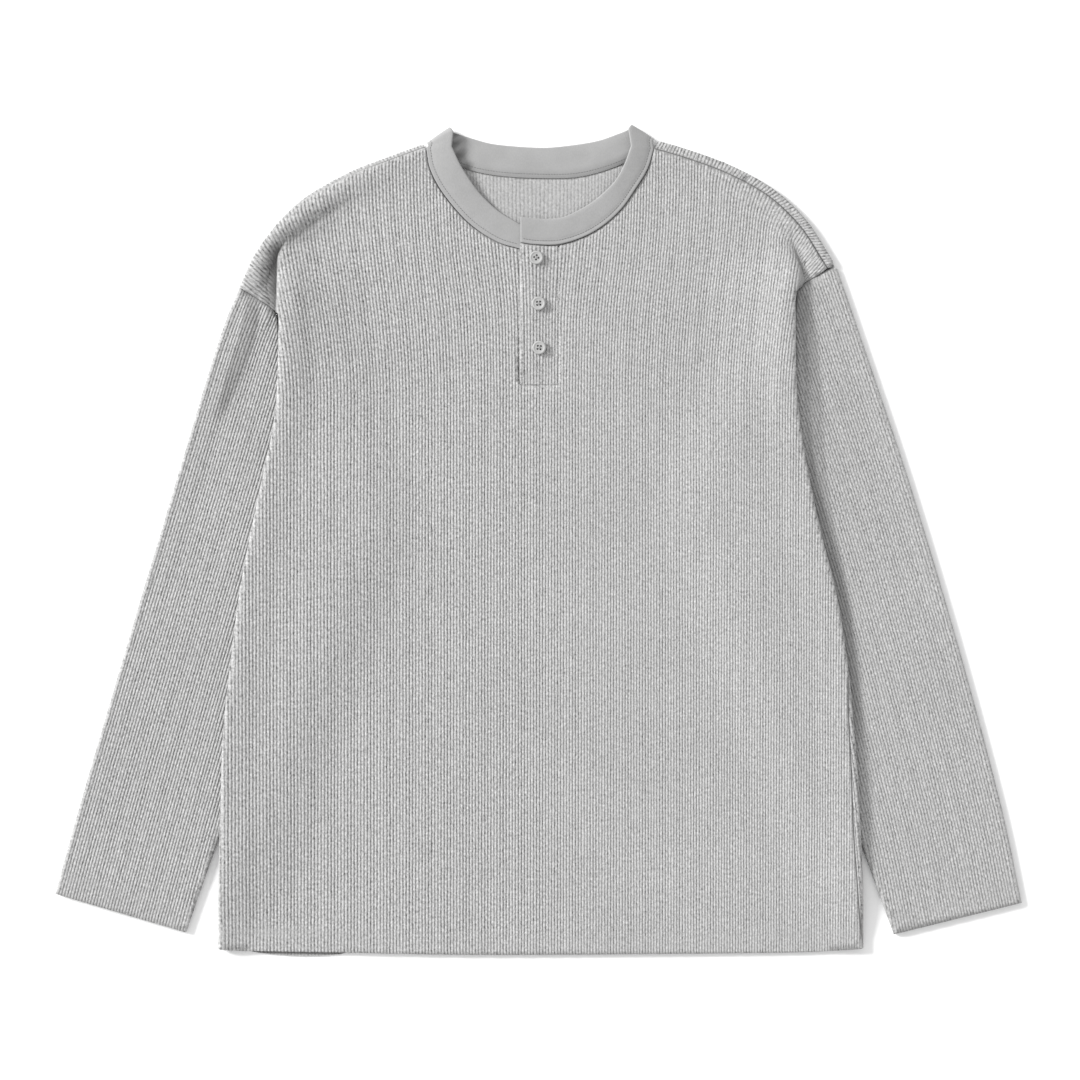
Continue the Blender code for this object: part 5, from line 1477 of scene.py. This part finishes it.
band_lines = neckband_rows()
neckband_cloth = placed("neckband_cloth", band_mesh("neckband_cloth", band_lines))
neckband_cloth.data.materials.append(jersey_finish("neckband_jersey"))

# ---------------------------------------------------------------- placket
# The placket is two upright strips of the rib knit set into the slit. The upper one, on the
# wearer's left, is folded along its free edge and sewn down across its foot over the under one.

PLACKET_TOP_LEVEL = 4.4
PLACKET_SEAM_LEVEL = 2.32
PLACKET_SLOPE_START = -9.0
PLACKET_ROLL = 2.6
PLACKET_FOOT_LEVEL = 2.32
PLACKET_FOOT_RUN = 19.0
PLACKET_EDGE_PUFF = 0.35
PLACKET_EDGE_DROP = 0.4
PLACKET_ROWS = (136.0, 262.0, 3.0)
PLACKET_INNER_ROWS = (140.0, 262.0, 8.0)
STRIP_COUNT = 14
STRIP_STEP = 2.5
UNDER_STRIP_RIGHT = 6.0
UNDER_STRIP_FOOT = PLACKET_FOOT + 0.4
UNDER_STRIP_TOP = 250.9
UNDER_STRIP_LEVEL = 1.55
UNDER_STRIP_WALL = 0.95


def placket_surface(x, y):
    slope = smooth_step((x - PLACKET_SLOPE_START) / (PLACKET_RIGHT - PLACKET_SLOPE_START))
    z = PLACKET_TOP_LEVEL + (PLACKET_SEAM_LEVEL - PLACKET_TOP_LEVEL) * slope
    foot = smooth_step(1.0 - (y - PLACKET_FOOT) / PLACKET_FOOT_RUN)
    z = z + (PLACKET_FOOT_LEVEL - z) * foot
    fold = np.clip((x - PLACKET_LEFT) / PLACKET_ROLL, 0.0, 1.0)
    z = z + PLACKET_EDGE_PUFF * np.sin(math.pi * fold**0.75)
    z = z - PLACKET_EDGE_DROP * smooth_step(1.0 - fold * 4.0)
    return np.column_stack([x, y, z])


def under_strip_surface(x, y):
    return np.column_stack([x, y, np.full(x.shape, UNDER_STRIP_LEVEL)])


def placket_keep(x, y):
    return 0.9 * smooth_step((x - PLACKET_LEFT + 0.2) / 1.2)


def strip_loop(left, right, foot, top):
    """Plan of an upright strip, anticlockwise from its lower left corner."""
    heads = [(x, float(np.interp(x, *top))) for x in np.linspace(right, left, STRIP_COUNT)]
    feet = [(x, foot) for x in np.linspace(left, right, STRIP_COUNT)]
    ends = (heads[0], heads[-1])
    up, down = ([(x, y) for y in np.arange(foot + STRIP_STEP, end - 1.2, STRIP_STEP)] for x, end in ends)
    return np.array(feet + up + heads + down[::-1])


def knit_strip(name, surface, loop, sewn_from, wall, rise):
    outer = (wall, 0.25, np.arange(*PLACKET_ROWS), rise)
    inner = (0.0, 2.0, np.arange(*PLACKET_INNER_ROWS), 0.0)
    folded = np.zeros(len(loop), bool)
    mesh = knit_panel(name, surface, loop, folded, loop[:, 1] > sewn_from, 1.0, (outer, inner), placket_keep)
    return grown(name, mesh, RAISE_RIBS, finish=BODY_KNIT)


upper_top = (curve(RIGHT_NECK_SEAM, 2.0) - np.array([0.0, SEAM_GAP])).T
upper_loop = strip_loop(PLACKET_LEFT, PLACKET_RIGHT, PLACKET_FOOT, upper_top)
under_top = ((PLACKET_LEFT, PLACKET_RIGHT), (UNDER_STRIP_TOP, UNDER_STRIP_TOP))
under_loop = strip_loop(PLACKET_LEFT, UNDER_STRIP_RIGHT, UNDER_STRIP_FOOT, under_top)
placket_upper_cloth = knit_strip("placket_upper_cloth", placket_surface, upper_loop, 252.0, WALL, RIB_HEIGHT)
placket_under_cloth = knit_strip(
    "placket_under_cloth", under_strip_surface, under_loop, 245.0, UNDER_STRIP_WALL, 0.0
)

# ---------------------------------------------------------------- buttons
# Three turned four-hole buttons of satin plastic, with a raised rim and a dished face, are sewn
# on through the placket with a cross of thread.

BUTTON_RADIUS = 6.0
BUTTON_HEIGHT = 2.0
BUTTON_HOLE_RADIUS = 0.95
BUTTON_HOLE_REACH = 1.85 / math.sqrt(2.0)
BUTTON_LEVEL = 6.3
BUTTON_TURNS = 56
BUTTON_SHARP = 38.0
THREAD_RADIUS = 0.15
THREAD_CROWN = 0.2
THREAD_DROP = 1.9
SHANK = (14, 1.5, 1.2, 0.8)  # sides, lower and upper radius, height
BUTTON_PROFILE = [  # share of the radius, share of the height
    (0.0, 0.0), (0.55, 0.0), (0.78, 0.04), (0.9, 0.14), (0.97, 0.32), (1.0, 0.52), (0.985, 0.72),
    (0.94, 0.9), (0.88, 0.98), (0.82, 1.0), (0.76, 0.98), (0.71, 0.92), (0.67, 0.85), (0.62, 0.81),
    (0.5, 0.79), (0.0, 0.78),
]
BUTTONS = [  # name, x, y, turn in degrees
    ("button_top", -1.9, 246.2, 35.0),
    ("button_middle", 0.1, 206.2, 4.0),
    ("button_bottom", 0.6, 167.6, -6.0),
]


def button_finish():
    """Satin grey plastic with faint turning lines and a slight cloud."""
    material, tree, shader = new_material("button_plastic", 0.5)
    shader.inputs["Specular IOR Level"].default_value = 0.45
    place = object_place(tree)
    cloud = noise_node(tree, place, 420.0, 3.0)
    tree.links.new(tinted(tree, cloud, (0.34, 0.34, 0.337), (0.44, 0.44, 0.435)), shader.inputs["Base Color"])
    add_bump(tree, shader, noise_node(tree, place, 2600.0, 2.0), 0.1, 0.0001)
    return material


def thread_finish(name, dark, light):
    """Spun sewing thread."""
    material, tree, shader = new_material(name, 0.8)
    spun = noise_node(tree, object_place(tree), 3000.0)
    tree.links.new(tinted(tree, spun, grey(dark), grey(light)), shader.inputs["Base Color"])
    return material


def add_cone(bm, segments, low_radius, high_radius, depth, x, y, z):
    bmesh.ops.create_cone(
        bm,
        cap_ends=True,
        segments=segments,
        radius1=low_radius * MM,
        radius2=high_radius * MM,
        depth=depth * MM,
        matrix=Matrix.Translation((x * MM, y * MM, z * MM)),
    )


def add_button(name, x, y, turn, finish):
    """A button spun from its profile, with four holes cut right through."""
    bm = bmesh.new()
    spots = [bm.verts.new((r * BUTTON_RADIUS * MM, 0.0, h * BUTTON_HEIGHT * MM)) for r, h in BUTTON_PROFILE]
    edges = [bm.edges.new(pair) for pair in zip(spots, spots[1:])]
    circle = {"axis": (0, 0, 1), "cent": (0, 0, 0), "angle": 2 * math.pi, "steps": BUTTON_TURNS}
    bmesh.ops.spin(bm, geom=spots + edges, use_duplicate=False, **circle)
    bmesh.ops.remove_doubles(bm, verts=bm.verts, dist=1e-6)
    bmesh.ops.recalc_face_normals(bm, faces=bm.faces)
    button = placed(name + "_blank", baked(name, bm))
    holes = bmesh.new()
    for sx in (-BUTTON_HOLE_REACH, BUTTON_HOLE_REACH):
        for sy in (-BUTTON_HOLE_REACH, BUTTON_HOLE_REACH):
            size = (BUTTON_HOLE_RADIUS, BUTTON_HOLE_RADIUS, BUTTON_HEIGHT * 2)
            add_cone(holes, 20, *size, sx, sy, BUTTON_HEIGHT * 0.5)
    drill = placed(name + "_drill", baked(name + "_drill", holes))
    cut = button.modifiers.new("holes", "BOOLEAN")
    cut.operation = "DIFFERENCE"
    cut.solver = "EXACT"
    cut.object = drill
    plain = plain_copy(button)
    for item in (button, drill):
        bpy.data.objects.remove(item, do_unlink=True)
    turned = Matrix.Rotation(math.radians(turn), 4, "Z")
    place = Matrix.Translation((x * MM, y * MM, BUTTON_LEVEL * MM)) @ turned
    plain.transform(place)
    plain.name = name
    plain.materials.clear()
    plain.materials.append(finish)
    plain.shade_smooth()
    plain.set_sharp_from_angle(angle=math.radians(BUTTON_SHARP))
    return placed(name + "_turned", plain), place


def thread_loop(points, radius, sides=8):
    """Rings round a line of points, joined into one closed tube."""
    bm = bmesh.new()
    rings = []
    angles = [2 * math.pi * i / sides for i in range(sides)]
    for k, point in enumerate(points):
        ahead = (points[min(k + 1, len(points) - 1)] - points[max(k - 1, 0)]).normalized()
        aside = ahead.cross(Vector((0.0, 0.0, 1.0)))
        aside = aside.normalized() if aside.length > 1e-6 else Vector((1.0, 0.0, 0.0))
        above = aside.cross(ahead)
        ways = [aside * math.cos(angle) + above * math.sin(angle) for angle in angles]
        rings.append([bm.verts.new(point + way * radius) for way in ways])
    for a, b in zip(rings, rings[1:]):
        for i in range(sides):
            j = (i + 1) % sides
            bm.faces.new((a[i], a[j], b[j], b[i]))
    bm.faces.new(rings[0])
    bm.faces.new(rings[-1][::-1])
    bmesh.ops.recalc_face_normals(bm, faces=bm.faces)
    return bm


def button_thread(name, place, finish):
    """The cross of thread between the holes, and its shank under the button."""
    face = BUTTON_HEIGHT * BUTTON_PROFILE[-1][1]
    whole = bmesh.new()
    for sx in (-1.0, 1.0):
        arc = []
        for t in np.linspace(-1.0, 1.0, 13):
            height = face + THREAD_CROWN * (1.0 - t**4) - THREAD_DROP * smooth_step((abs(t) - 0.8) * 5.0)
            reach = BUTTON_HOLE_REACH * t * 0.98
            arc.append(Vector((sx * reach, reach, height + 0.05 * sx)) * MM)
        scrap = baked("scrap", thread_loop(arc, THREAD_RADIUS * MM))
        whole.from_mesh(scrap)
        bpy.data.meshes.remove(scrap)
    add_cone(whole, *SHANK, 0.0, 0.0, -SHANK[-1] / 2)
    mesh = baked(name, whole)
    mesh.transform(place)
    mesh.shade_smooth()
    mesh.materials.append(finish)
    return placed(name, mesh)


BUTTON_PLASTIC = button_finish()
BUTTON_THREAD = thread_finish("button_thread_cotton", 0.30, 0.42)
buttons = []
button_threads = []
for name, x, y, turn in BUTTONS:
    button, place = add_button(name, x, y, turn, BUTTON_PLASTIC)
    buttons.append(button)
    button_threads.append(button_thread(name + "_thread", place, BUTTON_THREAD))

# ---------------------------------------------------------------- stitching
# The hems, the cuffs, the neckband and the foot of the placket are sewn through with rows of short stitches
# in thread that matches the cloth, darker along the neckband, which sink a little into the cloth.


def stitch_tree():
    """A row of short stitches along a line of edges, each turned to the line and flattened."""
    sockets = [("Geometry", "INPUT", "Geometry", None)]
    for name, value in (("Pitch", 0.003), ("Length", 0.0023), ("Thickness", 0.0005)):
        sockets.append((name, "INPUT", "Float", value))
    sockets += [("Seed", "INPUT", "Int", 3), ("Finish", "INPUT", "Material", None)]
    sockets += [("Geometry", "OUTPUT", "Geometry", None)]
    tree, given, f = new_group("stitch_row", "GeometryNodeTree", sockets)
    line = add_node(tree, "GeometryNodeMeshToCurve", {"Mesh": given["Geometry"]})["Curve"]
    inputs = {"Curve": line, "Length": given["Pitch"]}
    spaced = add_node(tree, "GeometryNodeResampleCurve", inputs, mode="LENGTH")["Curve"]
    stitch = add_node(tree, "GeometryNodeMeshIcoSphere", {"Radius": 0.5, "Subdivisions": 1})["Mesh"]
    along = add_node(tree, "GeometryNodeInputTangent", {})[0]
    turn = add_node(tree, "FunctionNodeAlignRotationToVector", {"Vector": along}, axis="X")["Rotation"]
    inputs = {"Seed": given["Seed"], 2: 0.8, 3: 1.1}
    uneven = add_node(tree, "FunctionNodeRandomValue", inputs, data_type="FLOAT")[1]
    inputs = {0: f("MULTIPLY", given["Length"], uneven), 1: given["Thickness"], 2: given["Thickness"]}
    size = add_node(tree, "ShaderNodeCombineXYZ", inputs)[0]
    inputs = {"Points": spaced, "Instance": stitch, "Rotation": turn, "Scale": size}
    spread = add_node(tree, "GeometryNodeInstanceOnPoints", inputs)["Instances"]
    real = add_node(tree, "GeometryNodeRealizeInstances", {"Geometry": spread})["Geometry"]
    smooth = add_node(tree, "GeometryNodeSetShadeSmooth", {"Geometry": real})["Geometry"]
    finish_tree(tree, smooth, given["Finish"])
    return tree


def line_mesh(name, rows):
    """Lines of points in millimetres, as the edges of one mesh."""
    points = [tuple(c * MM for c in p) for row in rows for p in row]
    edges = []
    start = 0
    for row in rows:
        edges += [(start + i, start + i + 1) for i in range(len(row) - 1)]
        start += len(row)
    mesh = bpy.data.meshes.new(name + "_line")
    mesh.from_pydata(points, edges, [])
    return mesh


def on_surface(surface, path, lift):
    """A path laid on a wall, lifted off its upper face, or off its lower one where the lift is negative."""
    x, y = path[:, 0], path[:, 1]
    return surface(x, y) + normals(surface, x, y) * lift


def hem_rows(hem, left, right, surface, lift):
    path = curve(hem, 4.0)
    path = path[(path[:, 0] > left) & (path[:, 0] < right)]
    return [on_surface(surface, path + np.array([0.0, rise]), lift) for rise in HEM_ROWS]


def cuff_rows(outer, inner, sign):
    """Stitches across a sleeve above its cuff."""
    start, end = np.array(outer[-1], float), np.array(inner[0], float)
    up = np.array(outer[-2], float) - start
    up /= np.linalg.norm(up)
    rows = []
    for rise in HEM_ROWS:
        path = [start + (end - start) * t + up * rise for t in np.linspace(0.03, 0.98, 40)]
        rows.append([(-sign * x, y, SLEEVE_LEVEL + HEM_LIFT) for x, y in path])
    return rows


def neckband_stitches():
    """The band's stitching on the face that shows: outside at the front, inside across the back."""
    across, width, up = band_frame(band_lines)
    path = band_lines[:, 0] + across * (width - BAND_STITCH_IN)[:, None]
    outer = path + up * (BAND_WALL / 2 - 0.24)
    inner = path - up * (BAND_WALL / 2 + 0.05)
    return [outer[2 : len(path) - 6], inner[BAND_BACK_ROWS]]


def placket_stitches():
    x = np.linspace(PLACKET_LEFT + 1.0, PLACKET_RIGHT - 0.6, 20)
    path = np.column_stack([x, np.full(x.shape, PLACKET_FOOT + 1.4)])
    return [on_surface(placket_surface, path, WALL + 0.15)]


STITCH_ROW = stitch_tree()
SEAM_THREAD = thread_finish("seam_thread_cotton", 0.26, 0.46)
BAND_THREAD = thread_finish("band_thread_cotton", 0.13, 0.2)
HEM_LIFT = WALL + 0.12
BACK_HEM_LIFT = -1.28
HEM_ROWS = (HEM_DEPTH - 1.6, HEM_DEPTH + 1.6)
HEM_PITCH = 3.0
BAND_PITCH = 2.4
PLACKET_PITCH = 2.2
STITCHES = (  # name, lines, length of a stitch and its gap, thread
    (
        "front_hem_stitches",
        hem_rows(FRONT_HEM, -276.0, 278.0, front_surface, HEM_LIFT),
        HEM_PITCH,
        SEAM_THREAD,
    ),
    (
        "back_hem_stitches",
        hem_rows(BACK_HEM, -274.0, 277.0, back_surface, BACK_HEM_LIFT),
        HEM_PITCH,
        SEAM_THREAD,
    ),
    ("right_cuff_stitches", cuff_rows(LEFT_SLEEVE_OUTER, LEFT_SLEEVE_INNER, -1.0), HEM_PITCH, SEAM_THREAD),
    (
        "left_cuff_stitches",
        cuff_rows(mirrored(RIGHT_SLEEVE_OUTER), mirrored(RIGHT_SLEEVE_INNER), 1.0),
        HEM_PITCH,
        SEAM_THREAD,
    ),
    ("neckband_stitches", neckband_stitches(), BAND_PITCH, BAND_THREAD),
    ("placket_foot_stitches", placket_stitches(), PLACKET_PITCH, SEAM_THREAD),
)
stitches = {}
for name, rows, pitch, finish in STITCHES:
    stitches[name] = grown(name, line_mesh(name, rows), STITCH_ROW, pitch=pitch * MM, finish=finish)

# ---------------------------------------------------------------- the whole shirt
# Every piece is fixed to the one body. Each cloth piece and each button stands for its solid, which is
# hidden.

knit_pieces = [back_cloth, front_cloth, sleeve_right_cloth, sleeve_left_cloth]
knit_pieces += [placket_upper_cloth, placket_under_cloth]
jersey_pieces = [neckband_cloth, *stitches.values()]
for slot, pieces in (
    ("rib_knit", knit_pieces),
    ("jersey_band", jersey_pieces),
    ("button_plastic", buttons + button_threads),
):
    for piece in pieces:
        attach(piece, "root")

for piece, node in (
    (back_cloth, "back"),
    (front_cloth, "front"),
    (sleeve_right_cloth, "sleeve_right"),
    (sleeve_left_cloth, "sleeve_left"),
    (neckband_cloth, "neckband"),
    (placket_upper_cloth, "placket_upper"),
    (placket_under_cloth, "placket_under"),
    (buttons[0], "button_top"),
    (buttons[1], "button_middle"),
    (buttons[2], "button_bottom"),
):
    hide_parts(node)
